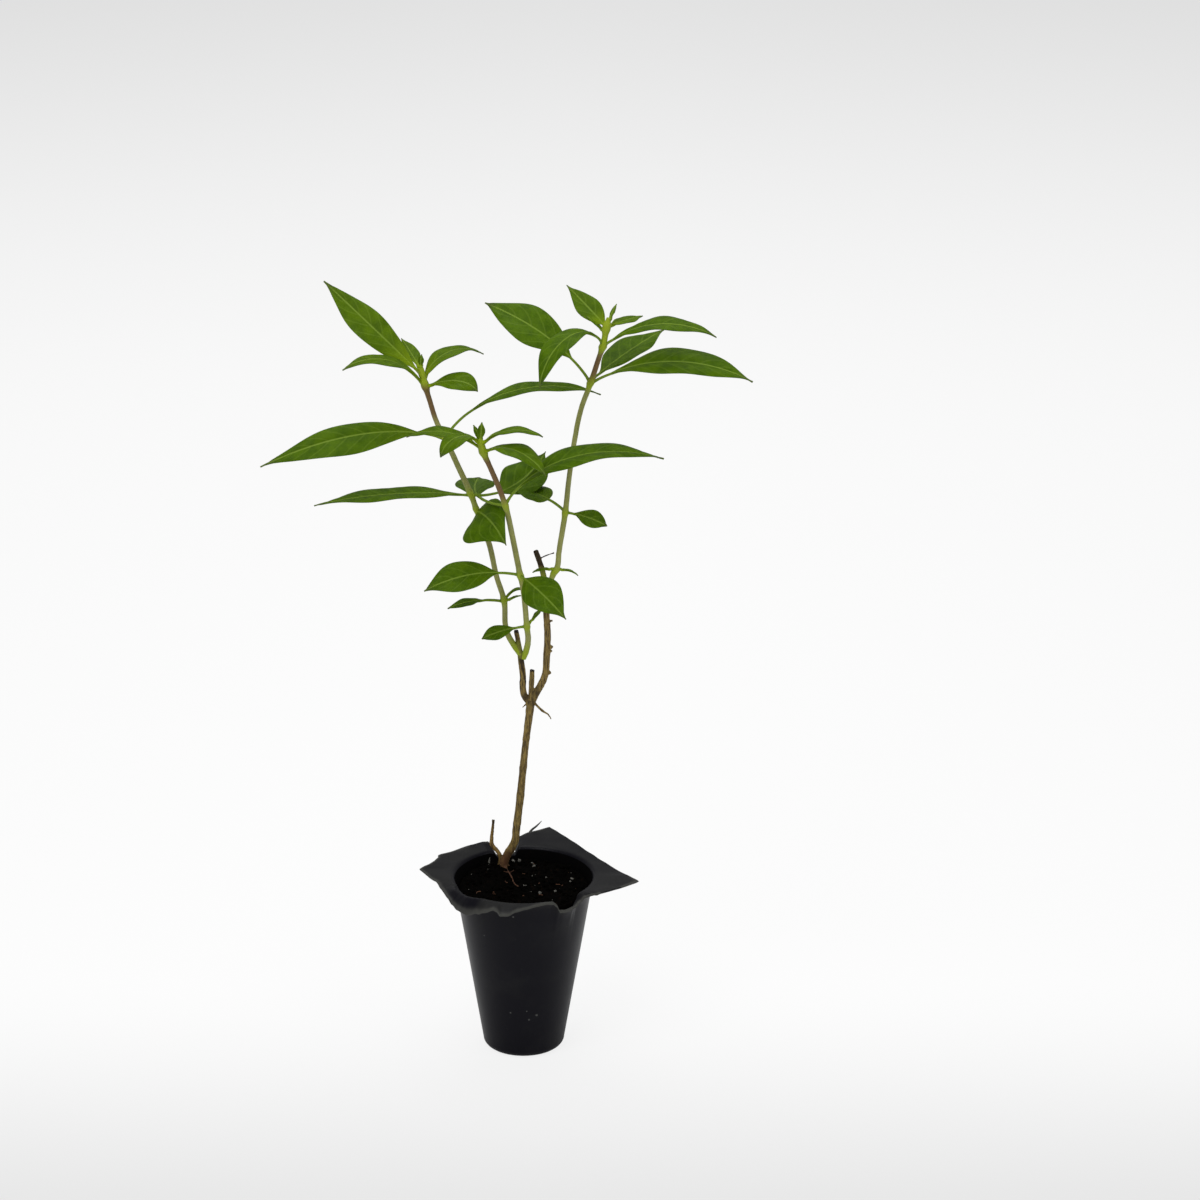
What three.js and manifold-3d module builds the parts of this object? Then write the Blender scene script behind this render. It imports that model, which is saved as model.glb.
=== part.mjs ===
// Potted cuphea: a young bedding plant with three leafy shoots on a cut-back woody stem,
// in a thin black starter pot whose square flange is torn.
// Millimetres, +Z up, origin at the centre of the pot's base. The front of the plant looks to -Y.

import * as THREE from 'three';
import { mergeVertices } from 'three/addons/utils/BufferGeometryUtils.js';
import Module from 'manifold-3d';

// Driving dimensions of the pot

const POT_HEIGHT = 70;
const MOUTH_RADIUS = 26;
const BASE_RADIUS = 14.5;
const BASE_CORNER_RADIUS = 3;
const SHEET = 0.8;
const RIM_FILLET = 3;
const FLANGE_SIDE = 63;
const FLANGE_CORNER_TURN = 78;
const FLANGE_STEP = 5;
const DRAIN_HOLE_RADIUS = 2;
const DRAIN_HOLE_CIRCLE = 8.5;

// Driving dimensions of the soil

const SOIL_EDGE_HEIGHT = 64.5;
const SOIL_SWELL = 1.2;
const MOUND_HEIGHT = 2.2;
const MOUND_RADIUS = 9;
const SEAT_GAP = 0.3;

// Driving dimensions of the leaves and stems

const PETIOLE_HALF_WIDTH = 0.6;
const PETIOLE_THICKNESS = 1.1;
const BLADE_THICKNESS = 0.7;
const MIDRIB_DEPTH = 0.35;
const BLADE_FOLD = 9;
const BLADE_TAPER = 2.8;
const LEAF_LANES = [-1, -0.5, 0, 0.5, 1];
const PETIOLE_STEPS = 3;
const BLADE_STEPS = 11;
const STEM_SIDES = 8;

const COLOUR = {
  leaf: 0x3f7a14,
  youngLeaf: 0x6f9a25,
  shoot: 0x8a9a48,
  bark: 0x6b5b38,
  plastic: 0x17191b,
  soil: 0x17120e,
  twig: 0x55452f,
};

// Stem routes, each point [x, y, z, radius], from the root end to the tip

const TRUNK = [
  [-8, 12.5, 56, 1.5], [-8, 12.5, 68, 1.7], [-7, 12.5, 71.5, 1.6], [-3.5, 12, 78.5, 1.45],
  [-3, 12, 83, 1.4], [-1.5, 12, 95.5, 1.35], [1, 12, 120, 1.35], [3, 12, 136.5, 1.5],
];
const LEFT_BRANCH = [
  [3, 12, 134.5, 1.1], [0.5, 12.5, 138, 1.15], [0, 12.5, 140.5, 1.15], [0, 12.5, 146.5, 1.1],
  [-0.5, 13, 151, 1.1], [-1, 13, 154.5, 1], [-2.5, 13, 164, 0.9],
];
const MIDDLE_STUB = [
  [3, 12, 134.5, 1], [3, 12, 139, 1], [3.5, 12, 148.5, 0.95],
];
const RIGHT_BRANCH = [
  [3, 12, 134.5, 1.2], [5, 12, 139, 1.25], [7, 12, 142.5, 1.2], [8.5, 12, 147, 1.15],
  [9, 12, 153.5, 1.15], [9.5, 12, 162.5, 1.15], [9, 12, 168.5, 1.1], [8.5, 12, 180.5, 1],
  [7.5, 12, 188, 1], [5, 12, 196, 1],
];
const LEFT_SHOOT = [
  [-1, 13, 154.5, 0.9], [-3, 13, 157.5, 0.9], [-6, 13, 163.5, 0.85], [-7, 13, 176, 0.85],
  [-9.5, 13.5, 185, 0.85], [-12, 14, 198.5, 0.85], [-16.5, 15, 212, 0.85], [-18, 15.5, 217, 0.8],
  [-23.5, 16, 228.5, 0.8], [-28, 16.5, 238, 0.8], [-31, 17, 244, 0.75], [-34, 17, 254, 0.75],
  [-35.5, 17, 259, 0.8], [-37.2, 17, 266.5, 0.7],
];
const MIDDLE_SHOOT = [
  [-0.5, 13, 150.5, 0.9], [1, 12, 154.5, 0.9], [2, 11, 159.5, 0.9], [1.5, 9, 167, 0.9],
  [0, 7, 183.5, 0.9], [-1, 6, 189, 0.9], [-3.5, 4, 203.5, 0.8], [-6, 2.5, 217, 0.8],
  [-11.5, 1, 233, 0.75], [-13.5, 0.5, 238, 0.75], [-14.6, 0, 243, 0.7],
];
const RIGHT_SHOOT = [
  [8.5, 12, 178, 0.8], [10, 11.5, 182.5, 0.85], [11.5, 11.5, 186.5, 0.85], [13, 11.5, 189.5, 0.85],
  [13.5, 11.5, 195.5, 0.8], [16, 12, 211, 0.8], [17.5, 12, 225, 0.75], [19.5, 12, 239, 0.75],
  [22, 12, 251, 0.75], [25.5, 12, 261, 0.8], [29, 12, 272, 0.75], [30, 12, 275, 0.75],
  [31.5, 12, 283, 0.7], [32.1, 12, 286, 0.7],
];
const DEAD_TWIG = [
  [-10.5, 17.5, 60, 0.8], [-12, 17.5, 68.5, 0.9], [-12.8, 17, 72, 0.7], [-12.5, 17, 80, 0.6],
  [-12, 17, 84.5, 0.45],
];

// Leaves. at: the point on the stem; turn: compass turn of the leaf, 0 to the right, 90 away from
// the front; rise: degrees up at the stem; droop and sway: how far it bends down and turns on its
// way to the tip, early when bend is under 1; roll: turn about the midrib, right edge down; twist:
// change of roll to the tip; belly: where the blade is widest, from 0 at its base to 1 at its tip;
// skew: how much wider the right half of the blade is than the left.

const LEFT_SHOOT_LEAVES = {
  low_left: {
    at: [-7, 13, 175.5], turn: 195, rise: 15, petiole: 8, blade: 14, width: 5, droop: 35, roll: -15,
  },
  middle_left: {
    at: [-18, 15.5, 217], turn: 180, rise: 5, petiole: 5, blade: 55, width: 11, droop: 18, roll: -6,
  },
  middle_right: {
    at: [-18.2, 15.5, 218], turn: 5, rise: -3, petiole: 9, blade: 36, width: 19, droop: -12, sway: 64,
    bend: 0.5, roll: 10,
  },
  middle_front: {
    at: [-15.5, 14.7, 209.8], turn: 294, rise: 8, petiole: 2, blade: 25, width: 17.6, droop: 40,
    roll: 40, skew: 0.42,
  },
  upper_left: {
    at: [-28, 16.5, 238], turn: 188, rise: 35, petiole: 12, blade: 59, width: 12.8, droop: 62, bend: 0.5,
    roll: -45, belly: 0.42,
  },
  upper_right: {
    at: [-28, 16.5, 238.5], turn: 20, rise: 66, petiole: 14, blade: 53, width: 8, droop: 88, bend: 0.6,
    roll: 10,
  },
  top_back_left: {
    at: [-36.6, 17.2, 262.8], turn: 154, rise: 37, petiole: 2, blade: 49, width: 12.5, droop: 0,
    roll: -36, skew: -0.1,
  },
  top_front_left: {
    at: [-35.3, 17, 258.2], turn: 201, rise: 56, petiole: 1, blade: 35, width: 10, droop: 88, bend: 1.2,
    roll: -8, skew: -0.15,
  },
  top_back: {
    at: [-37.2, 17, 266], turn: 112, rise: 19, petiole: 1, blade: 18, width: 5.5, droop: 0, roll: 0,
  },
  top_right: {
    at: [-36, 17, 260.5], turn: 35, rise: 68, petiole: 1, blade: 28.5, width: 9, droop: 97, bend: 0.8,
    roll: 0,
  },
  top_front_right: {
    at: [-35.5, 17, 258.5], turn: 345, rise: 18, petiole: 1, blade: 20.5, width: 10, droop: 70,
    bend: 2.5, roll: 25, belly: 0.62,
  },
};
const MIDDLE_SHOOT_LEAVES = {
  low_left: {
    at: [1.5, 9, 167], turn: 200, rise: 2, petiole: 4, blade: 14, width: 6, droop: 22, roll: -40,
    belly: 0.58,
  },
  middle_left: {
    at: [-1, 6, 188.5], turn: 200, rise: 17, petiole: 8, blade: 30, width: 13.5, droop: 40, roll: -35,
  },
  middle_right: {
    at: [-1, 6, 188.5], turn: 308, rise: -11, petiole: 3, blade: 27, width: 14.5, droop: 15, roll: 30,
    belly: 0.42,
  },
  upper_left: {
    at: [-6, 2.5, 217], turn: 190, rise: -6, petiole: 16, blade: 24, width: 16, droop: 4, sway: -118,
    bend: 0.35,
  },
  upper_right: {
    at: [-6, 2.5, 217], turn: 358, rise: 62, petiole: 8, blade: 57, width: 13.5, droop: 76, bend: 0.7,
    roll: 30, twist: -30,
  },
  top_front_left: {
    at: [-14.3, 0, 241.5], turn: 208, rise: 50, petiole: 1, blade: 19, width: 10, droop: 130, bend: 1.2,
    roll: 0,
  },
  top_left: {
    at: [-14, 0.2, 239.5], turn: 170, rise: 36, petiole: 3, blade: 27, width: 8, droop: 62, roll: -5,
  },
  top_right: {
    at: [-14.3, 0, 241.5], turn: 345, rise: 45, petiole: 1, blade: 24, width: 6, droop: 68, roll: 0,
  },
  top_front_right: {
    at: [-13.5, 0.5, 238.5], turn: 322, rise: 27, petiole: 2, blade: 28, width: 11, droop: 75, roll: 0,
  },
};
const RIGHT_SHOOT_LEAVES = {
  low_left: {
    at: [16, 12, 211], turn: 140, rise: 38, petiole: 7, blade: 18, width: 13, droop: 50, bend: 0.6,
    belly: 0.36,
  },
  low_right: {
    at: [16, 12, 211], turn: 340, rise: 0, petiole: 3, blade: 14, width: 8, droop: 28, roll: 45,
    belly: 0.56,
  },
  middle_left: {
    at: [25.5, 12, 261], turn: 155, rise: 64, petiole: 11, blade: 40, width: 16.4, droop: 50, bend: 0.5,
    roll: -30,
  },
  middle_right: {
    at: [25.5, 12, 261], turn: 350, rise: 33, petiole: 9, blade: 54, width: 15, droop: 60, roll: 20,
  },
  middle_back: {
    at: [26, 12, 262.5], turn: 50, rise: 18, petiole: 4, blade: 39, width: 15, droop: 10, roll: 0,
  },
  upper_left: {
    at: [30, 12, 275], turn: 221, rise: 76, petiole: 5, blade: 39, width: 12.5, droop: 158, bend: 0.62,
    roll: 0,
  },
  upper_right: {
    at: [30, 12, 275], turn: 345, rise: 42, petiole: 4, blade: 42, width: 10.5, droop: 68, roll: 18,
  },
  top_left: {
    at: [31.5, 12, 282.5], turn: 137, rise: 28, petiole: 1, blade: 22, width: 10, droop: 0, roll: -20,
    belly: 0.42,
  },
  top_right: {
    at: [31.6, 12, 283], turn: 35, rise: 3, petiole: 1, blade: 15, width: 6, droop: 0, roll: 0,
  },
};

// Leaflets too small to be pieces of their own: they are part of the shoot that they grow from

const LEFT_SHOOT_LEAFLETS = [
  { at: [-7, 13, 175.5], turn: 10, rise: 70, petiole: 2, blade: 12, width: 2.4, droop: 140, bend: 1.2 },
  { at: [-7, 13, 175.5], turn: 335, rise: 35, petiole: 2, blade: 6, width: 2, droop: 20 },
  { at: [-37.2, 17, 266], turn: 60, rise: 80, petiole: 1, blade: 5, width: 2.4, droop: 0 },
];
const MIDDLE_SHOOT_LEAFLETS = [
  { at: [1.5, 9, 167], turn: 20, rise: 50, petiole: 3, blade: 6, width: 3, droop: 10 },
  { at: [-14.5, 0, 242], turn: 150, rise: 62, petiole: 1, blade: 6, width: 2.6, droop: 0 },
  { at: [-14.5, 0, 242], turn: 40, rise: 78, petiole: 1, blade: 6, width: 2.6, droop: 0 },
];
const RIGHT_SHOOT_LEAFLETS = [
  { at: [12.5, 11.5, 188.5], turn: 185, rise: 20, petiole: 2, blade: 7, width: 3, droop: 50 },
  { at: [12.5, 11.5, 188.5], turn: 0, rise: 15, petiole: 2, blade: 7, width: 1.6, droop: 60 },
  { at: [32, 12, 284.5], turn: 50, rise: 50, petiole: 1, blade: 6.5, width: 1.8, droop: 0 },
  { at: [31.2, 12, 280.5], turn: 165, rise: 22, petiole: 1, blade: 9, width: 2.4, droop: 0 },
];

// Small tools for shapes

const wasm = await Module();
wasm.setup();

const radians = THREE.MathUtils.degToRad;

function solidOf(geometry) {
  const bare = geometry.clone();
  bare.deleteAttribute('normal');
  bare.deleteAttribute('uv');
  const merged = mergeVertices(bare, 1e-4);
  return new wasm.Manifold(new wasm.Mesh({
    numProp: 3,
    vertProperties: new Float32Array(merged.attributes.position.array),
    triVerts: new Uint32Array(merged.index.array),
  }));
}

function geometryOf(solid) {
  const mesh = solid.getMesh();
  const geometry = new THREE.BufferGeometry();
  geometry.setAttribute('position', new THREE.BufferAttribute(new Float32Array(mesh.vertProperties), 3));
  geometry.setIndex(new THREE.BufferAttribute(new Uint32Array(mesh.triVerts), 1));
  geometry.computeVertexNormals();
  return geometry;
}

function largestPiece(solid) {
  const pieces = solid.decompose();
  return pieces.reduce((best, piece) => (piece.volume() > best.volume() ? piece : best));
}

// A closed skin over a row of rings that all have the same number of points. The two triangles
// of each patch meet on the other diagonal where leansBack says so.
function loft(rings, leansBack = () => false) {
  const count = rings[0].length;
  const points = rings.flat();
  const faces = [];
  for (let row = 0; row < rings.length - 1; row += 1) {
    for (let k = 0; k < count; k += 1) {
      const next = (k + 1) % count;
      const a = row * count + k;
      const b = row * count + next;
      const c = (row + 1) * count + next;
      const d = (row + 1) * count + k;
      if (leansBack(k)) {
        faces.push(a, b, d, b, c, d);
      } else {
        faces.push(a, b, c, a, c, d);
      }
    }
  }
  for (const [row, outward] of [[0, false], [rings.length - 1, true]]) {
    const middle = new THREE.Vector3();
    rings[row].forEach((point) => middle.addScaledVector(point, 1 / count));
    points.push(middle);
    for (let k = 0; k < count; k += 1) {
      const a = row * count + k;
      const b = row * count + ((k + 1) % count);
      faces.push(...(outward ? [a, b, points.length - 1] : [b, a, points.length - 1]));
    }
  }
  const geometry = new THREE.BufferGeometry().setFromPoints(points);
  geometry.setIndex(faces);
  return geometry;
}

// A round stem along a route of [x, y, z, radius] points, made fatter by extra
function stem(route, extra = 0) {
  const spine = route.map(([x, y, z]) => new THREE.Vector3(x, y, z));
  const rings = spine.map((point, i) => {
    const before = spine[Math.max(i - 1, 0)];
    const after = spine[Math.min(i + 1, spine.length - 1)];
    const along = after.clone().sub(before).normalize();
    const sideways = new THREE.Vector3(0, 1, 0).cross(along).normalize();
    const forward = along.clone().cross(sideways);
    const radius = route[i][3] + extra;
    return Array.from({ length: STEM_SIDES }, (_, k) => {
      const angle = (2 * Math.PI * k) / STEM_SIDES;
      return point.clone()
        .addScaledVector(sideways, radius * Math.cos(angle))
        .addScaledVector(forward, radius * Math.sin(angle));
    });
  });
  return solidOf(loft(rings));
}

function halfWidth(leaf, t) {
  const belly = leaf.belly ?? 0.5;
  if (t <= 0 || t >= 1) {
    return 0;
  }
  const rising = (t / belly) ** (BLADE_TAPER * belly);
  const falling = ((1 - t) / (1 - belly)) ** (BLADE_TAPER * (1 - belly));
  return (leaf.width / 2) * rising * falling;
}

function leafHeading(leaf, s) {
  const bent = s ** (leaf.bend ?? 1);
  const turn = radians(leaf.turn + (leaf.sway ?? 0) * bent);
  const rise = radians(leaf.rise - (leaf.droop ?? 0) * bent);
  return {
    along: new THREE.Vector3(Math.cos(turn), Math.sin(turn), Math.tan(rise)).normalize(),
    right: new THREE.Vector3(Math.sin(turn), -Math.cos(turn), 0),
  };
}

// One leaf, petiole and blade in one skin: each ring holds the upper face from left to right
// and the lower face back again. The midrib stands out below.
function leafSolid(leaf, bladeSteps = BLADE_STEPS, extra = 0) {
  const length = leaf.petiole + leaf.blade;
  const stations = [];
  for (let i = 0; i < PETIOLE_STEPS; i += 1) {
    stations.push((leaf.petiole / length) * (i / PETIOLE_STEPS));
  }
  for (let i = 0; i <= bladeSteps; i += 1) {
    stations.push((leaf.petiole + leaf.blade * (i / bladeSteps)) / length);
  }
  const place = new THREE.Vector3(...leaf.at);
  const rings = stations.map((s, i) => {
    if (i > 0) {
      const step = s - stations[i - 1];
      place.addScaledVector(leafHeading(leaf, s - step / 2).along, step * length);
    }
    const { along, right } = leafHeading(leaf, s);
    const up = right.clone().cross(along);
    const roll = radians((leaf.roll ?? 0) + (leaf.twist ?? 0) * s);
    const side = right.clone().multiplyScalar(Math.cos(roll)).addScaledVector(up, -Math.sin(roll));
    const face = up.clone().multiplyScalar(Math.cos(roll)).addScaledVector(right, Math.sin(roll));
    const t = (s * length - leaf.petiole) / leaf.blade;
    const stalk = PETIOLE_HALF_WIDTH * (1 - 0.6 * Math.max(t, 0));
    const reach = Math.hypot(halfWidth(leaf, t), stalk) + extra;
    const thinning = Math.min(Math.max(t * 4, 0), 1);
    const thickness = THREE.MathUtils.lerp(PETIOLE_THICKNESS, BLADE_THICKNESS, thinning) + 2 * extra;
    const lopsided = Math.min(Math.max(t * 6, 0), 1) * (leaf.skew ?? 0);
    const fold = radians(BLADE_FOLD) * Math.min(Math.max(t * 6, 0), 1);
    const rib = MIDRIB_DEPTH * (1 - Math.max(t, 0));
    const at = (lane, lift) => {
      const out = lane * reach * (1 + Math.sign(lane) * lopsided);
      return place.clone()
        .addScaledVector(side, out * Math.cos(fold))
        .addScaledVector(face, Math.abs(out) * Math.sin(fold) + lift);
    };
    const upper = LEAF_LANES.map((lane) => at(lane, thickness / 2));
    const lower = LEAF_LANES.map((lane) => at(lane, -thickness / 2 - (lane === 0 ? rib : 0))).reverse();
    return [...upper, ...lower];
  });
  return solidOf(loft(rings, (k) => k < LEAF_LANES.length));
}

// Pot: one thin shell turned from base to flange, its flange squared, torn and bent

// Each tear: [turn in degrees, how far the flange reaches, how far the rim dips there,
// how far the outer edge hangs below the rim]
const TEARS = [
  [3, 99, 0, -0.4], [78, 99, 0, -1], [88, 40, 0, -1], [95, 36, 0, 0], [98, 27.5, 2.5, 0],
  [113, 27.5, 3.5, 0], [118, 34.5, 0.5, -1], [123, 99, 0, -1], [148, 38.5, 0, -1], [153, 37.5, 0, -1],
  [158, 35.5, 0, -0.6], [168, 38, 0, -0.6], [173, 39.3, 0, 0], [188, 33.4, 0, 0.5], [203, 31.6, 0.5, 1],
  [208, 32.5, 2.5, 1.5], [213, 32, 4, 2.5], [223, 30.2, 4, 3], [228, 29.6, 3, 3], [233, 30, 1, 3.5],
  [238, 31, 0, 3.5], [253, 30.5, 0, 3], [258, 32.5, 0, 4], [263, 30.5, 0, 3], [278, 29, 0, 2],
  [288, 28, 0, 1], [293, 28.3, 1, 1], [298, 29, 3, 0.5], [308, 29, 3, 0.5], [318, 29.6, 2.5, 0.5],
  [323, 32, 1, 0.5], [328, 99, 0, -0.4], [338, 99, 0, -0.8], [348, 44, 0, -1.2], [353, 99, 0, -1],
  [363, 99, 0, -0.4],
];
const SLIVER = [[1.2, 37.5, 70.3, 0.5], [2.4, 40.5, 71, 0.5], [6.3, 42, 74.2, 0.25]];

function tearAt(degrees) {
  const turn = degrees < TEARS[0][0] ? degrees + 360 : degrees;
  const after = TEARS.findIndex((row) => row[0] >= turn);
  if (after <= 0) {
    return TEARS[0];
  }
  const [low, high] = [TEARS[after - 1], TEARS[after]];
  const mix = (turn - low[0]) / (high[0] - low[0]);
  return low.map((value, i) => THREE.MathUtils.lerp(value, high[i], mix));
}

function flangeReach(degrees) {
  const quarter = ((degrees - FLANGE_CORNER_TURN + 45 + 720) % 90) - 45;
  const fromSide = 45 - Math.abs(quarter);
  const square = FLANGE_SIDE / 2 / Math.cos(radians(fromSide));
  return Math.min(square, tearAt(degrees)[1]);
}

function potWallRadius(z) {
  return THREE.MathUtils.lerp(BASE_RADIUS, MOUTH_RADIUS - RIM_FILLET * 0.3, z / POT_HEIGHT);
}

function potProfile() {
  const profile = [[0, 0]];
  for (const step of [0, 0.5, 1]) {
    const angle = (step * Math.PI) / 2;
    profile.push([
      BASE_RADIUS - BASE_CORNER_RADIUS * (1 - Math.sin(angle)),
      BASE_CORNER_RADIUS * (1 - Math.cos(angle)),
    ]);
  }
  const wallTop = POT_HEIGHT - RIM_FILLET;
  profile.push([potWallRadius(35) + SHEET, 35]);
  profile.push([potWallRadius(wallTop) + SHEET, wallTop - SHEET]);
  profile.push([MOUTH_RADIUS + SHEET + 0.4, POT_HEIGHT - SHEET - 0.7]);
  profile.push([MOUTH_RADIUS + 1.6, POT_HEIGHT - SHEET]);
  profile.push([FLANGE_SIDE / 2, POT_HEIGHT - SHEET]);
  profile.push([FLANGE_SIDE / 2, POT_HEIGHT]);
  profile.push([MOUTH_RADIUS + 1.6, POT_HEIGHT]);
  profile.push([MOUTH_RADIUS + 0.4, POT_HEIGHT - 0.7]);
  profile.push([potWallRadius(wallTop), wallTop - SHEET]);
  profile.push([potWallRadius(35), 35]);
  profile.push([BASE_RADIUS - SHEET + 0.1, BASE_CORNER_RADIUS]);
  profile.push([BASE_RADIUS - BASE_CORNER_RADIUS, SHEET]);
  profile.push([0, SHEET]);
  return profile.map(([x, y]) => new THREE.Vector2(x, y));
}

function potGeometry() {
  const segments = 360 / FLANGE_STEP;
  const geometry = new THREE.LatheGeometry(potProfile(), segments, 0, 2 * Math.PI);
  geometry.rotateX(Math.PI / 2);
  geometry.rotateZ(radians(FLANGE_CORNER_TURN));
  const position = geometry.attributes.position;
  const flangeStart = MOUTH_RADIUS + 1.6;
  for (let i = 0; i < position.count; i += 1) {
    const [x, y, z] = [position.getX(i), position.getY(i), position.getZ(i)];
    const radius = Math.hypot(x, y);
    if (z > POT_HEIGHT / 2 + 1) {
      const degrees = (THREE.MathUtils.radToDeg(Math.atan2(y, x)) + 360) % 360;
      const tear = tearAt(degrees);
      const share = Math.max(radius - flangeStart, 0) / (FLANGE_SIDE / 2 - flangeStart);
      const reach = THREE.MathUtils.lerp(Math.min(radius, flangeStart), flangeReach(degrees), share);
      const scale = share > 0 ? reach / radius : 1;
      position.setXYZ(i, x * scale, y * scale, z - tear[2] - tear[3] * share);
    }
  }
  return geometry;
}

function potSolid() {
  let pot = solidOf(potGeometry()).add(stem(SLIVER));
  for (let i = 0; i < 4; i += 1) {
    const angle = radians(45 + 90 * i);
    const hole = new THREE.CylinderGeometry(DRAIN_HOLE_RADIUS, DRAIN_HOLE_RADIUS, 4 * SHEET, 12);
    hole.rotateX(Math.PI / 2);
    hole.translate(DRAIN_HOLE_CIRCLE * Math.cos(angle), DRAIN_HOLE_CIRCLE * Math.sin(angle), SHEET / 2);
    pot = pot.subtract(solidOf(hole));
  }
  return pot;
}

// Soil: it fills the cup, swells a little in the middle and is heaped round the stem

function soilHeight(x, y) {
  const fromEdge = 1 - Math.min(Math.hypot(x, y) / MOUTH_RADIUS, 1) ** 2;
  const fromStem = Math.hypot(x - TRUNK[1][0], y - TRUNK[1][1]) / MOUND_RADIUS;
  const crumbs = 0.35 * Math.sin(x * 1.7 + Math.sin(y * 0.9) * 2) + 0.3 * Math.sin(y * 1.9 + Math.sin(x) * 2);
  const mound = MOUND_HEIGHT * Math.exp(-fromStem * fromStem);
  const swell = SOIL_SWELL * Math.min(fromEdge * 4, 1);
  return SOIL_EDGE_HEIGHT + swell + mound + crumbs * Math.min(fromEdge * 6, 1);
}

function soilGeometry() {
  const floor = SHEET + SEAT_GAP;
  const clear = SEAT_GAP + 0.1;
  const profile = [[0, floor], [BASE_RADIUS - BASE_CORNER_RADIUS - 0.4, floor]];
  profile.push([BASE_RADIUS - SHEET - clear, BASE_CORNER_RADIUS + 0.4]);
  profile.push([potWallRadius(35) - clear, 35]);
  const topRadius = potWallRadius(SOIL_EDGE_HEIGHT) - clear;
  profile.push([topRadius, SOIL_EDGE_HEIGHT]);
  const rows = 8;
  for (let i = rows - 1; i >= 0; i -= 1) {
    profile.push([(topRadius * i) / rows, SOIL_EDGE_HEIGHT]);
  }
  const geometry = new THREE.LatheGeometry(profile.map(([x, y]) => new THREE.Vector2(x, y)), 40);
  geometry.rotateX(Math.PI / 2);
  const position = geometry.attributes.position;
  for (let i = 0; i < position.count; i += 1) {
    const radius = Math.hypot(position.getX(i), position.getY(i));
    if (position.getZ(i) > SOIL_EDGE_HEIGHT - 1 && radius < topRadius - 0.5) {
      position.setZ(i, soilHeight(position.getX(i), position.getY(i)));
    }
  }
  return geometry;
}

const PERLITE_GRAINS = [
  [-1, 20, 1], [-3.5, 17.5, 0.9], [4, 16.5, 1], [17, 0, 0.9], [-13, 15, 1], [1, -1, 0.7], [6, -5, 1.1],
];

// The wood, in one piece with its stubs, knobs and the fine roots at its fork

const KNOBS = [[4.3, 12, 137.3], [9.8, 11.8, 147.5], [10.3, 12, 156], [10.6, 12, 157.6], [10.4, 12, 168]];
const FORK_ROOTS = [
  [[3.5, 11.8, 136, 0.5], [7.5, 11.3, 132, 0.45], [9.8, 11, 130, 0.4], [11.2, 11, 127.5, 0.3]],
  [[2.5, 11.8, 136, 0.5], [-0.3, 11.4, 133.5, 0.3]],
];
const CUT_END_TWIG = [[6.8, 12, 193, 0.35], [9.3, 12, 194.2, 0.35], [11.8, 12, 195, 0.45]];

function woodSolid(extra = 0) {
  const routes = [TRUNK, LEFT_BRANCH, MIDDLE_STUB, RIGHT_BRANCH, ...FORK_ROOTS, CUT_END_TWIG];
  let wood = stem(routes[0], extra);
  for (const route of routes.slice(1)) {
    wood = wood.add(stem(route, extra));
  }
  for (const [x, y, z] of KNOBS) {
    const knob = new THREE.IcosahedronGeometry(0.8 + extra, 0);
    knob.translate(x, y, z);
    wood = wood.add(solidOf(knob));
  }
  return wood;
}

const wood = woodSolid();
const woodSeat = woodSolid(SEAT_GAP);

// Each shoot is seated on the wood, and its leaflets are fused to it
function shootSolid(route, leaflets) {
  const bare = stem(route);
  let shoot = bare;
  for (const leaflet of leaflets) {
    shoot = shoot.add(leafSolid(leaflet, 5));
  }
  return largestPiece(shoot.subtract(woodSeat));
}

const model = new THREE.Group();

function addPiece(name, solid, colour, roughness) {
  const material = new THREE.MeshStandardMaterial({ color: colour, roughness, metalness: 0 });
  const mesh = new THREE.Mesh(geometryOf(solid), material);
  mesh.name = name;
  model.add(mesh);
}

function addShoot(name, route, leaves, leaflets) {
  addPiece(name, shootSolid(route, leaflets), COLOUR.shoot, 0.6);
  let seat = stem(route, SEAT_GAP);
  for (const leaflet of leaflets) {
    seat = seat.add(leafSolid(leaflet, 5, SEAT_GAP));
  }
  for (const [place, leaf] of Object.entries(leaves)) {
    const blade = largestPiece(leafSolid(leaf).subtract(seat));
    const colour = place.startsWith('top') ? COLOUR.youngLeaf : COLOUR.leaf;
    addPiece(`${name}_leaf_${place}`, blade, colour, 0.5);
  }
}

const twig = stem(DEAD_TWIG);
let soil = solidOf(soilGeometry());
for (const [x, y, radius] of PERLITE_GRAINS) {
  const grain = new THREE.IcosahedronGeometry(radius, 0);
  grain.translate(x, y, soilHeight(x, y));
  soil = soil.add(solidOf(grain));
}
soil = largestPiece(soil.subtract(stem(TRUNK, SEAT_GAP)).subtract(stem(DEAD_TWIG, SEAT_GAP)));

addPiece('pot', potSolid(), COLOUR.plastic, 0.4);
addPiece('soil', soil, COLOUR.soil, 0.95);
addPiece('woody_stem', wood, COLOUR.bark, 0.8);
addPiece('dead_twig', twig, COLOUR.twig, 0.85);
addShoot('left_shoot', LEFT_SHOOT, LEFT_SHOOT_LEAVES, LEFT_SHOOT_LEAFLETS);
addShoot('middle_shoot', MIDDLE_SHOOT, MIDDLE_SHOOT_LEAVES, MIDDLE_SHOOT_LEAFLETS);
addShoot('right_shoot', RIGHT_SHOOT, RIGHT_SHOOT_LEAVES, RIGHT_SHOOT_LEAFLETS);

export default model;
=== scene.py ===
"""A young cuphea in its torn starter pot, laid out as a Blender add-on and run as a script.

Metres, +Z up, the pot's base at the origin. Routes and leaf sizes are listed in millimetres.
"""

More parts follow.
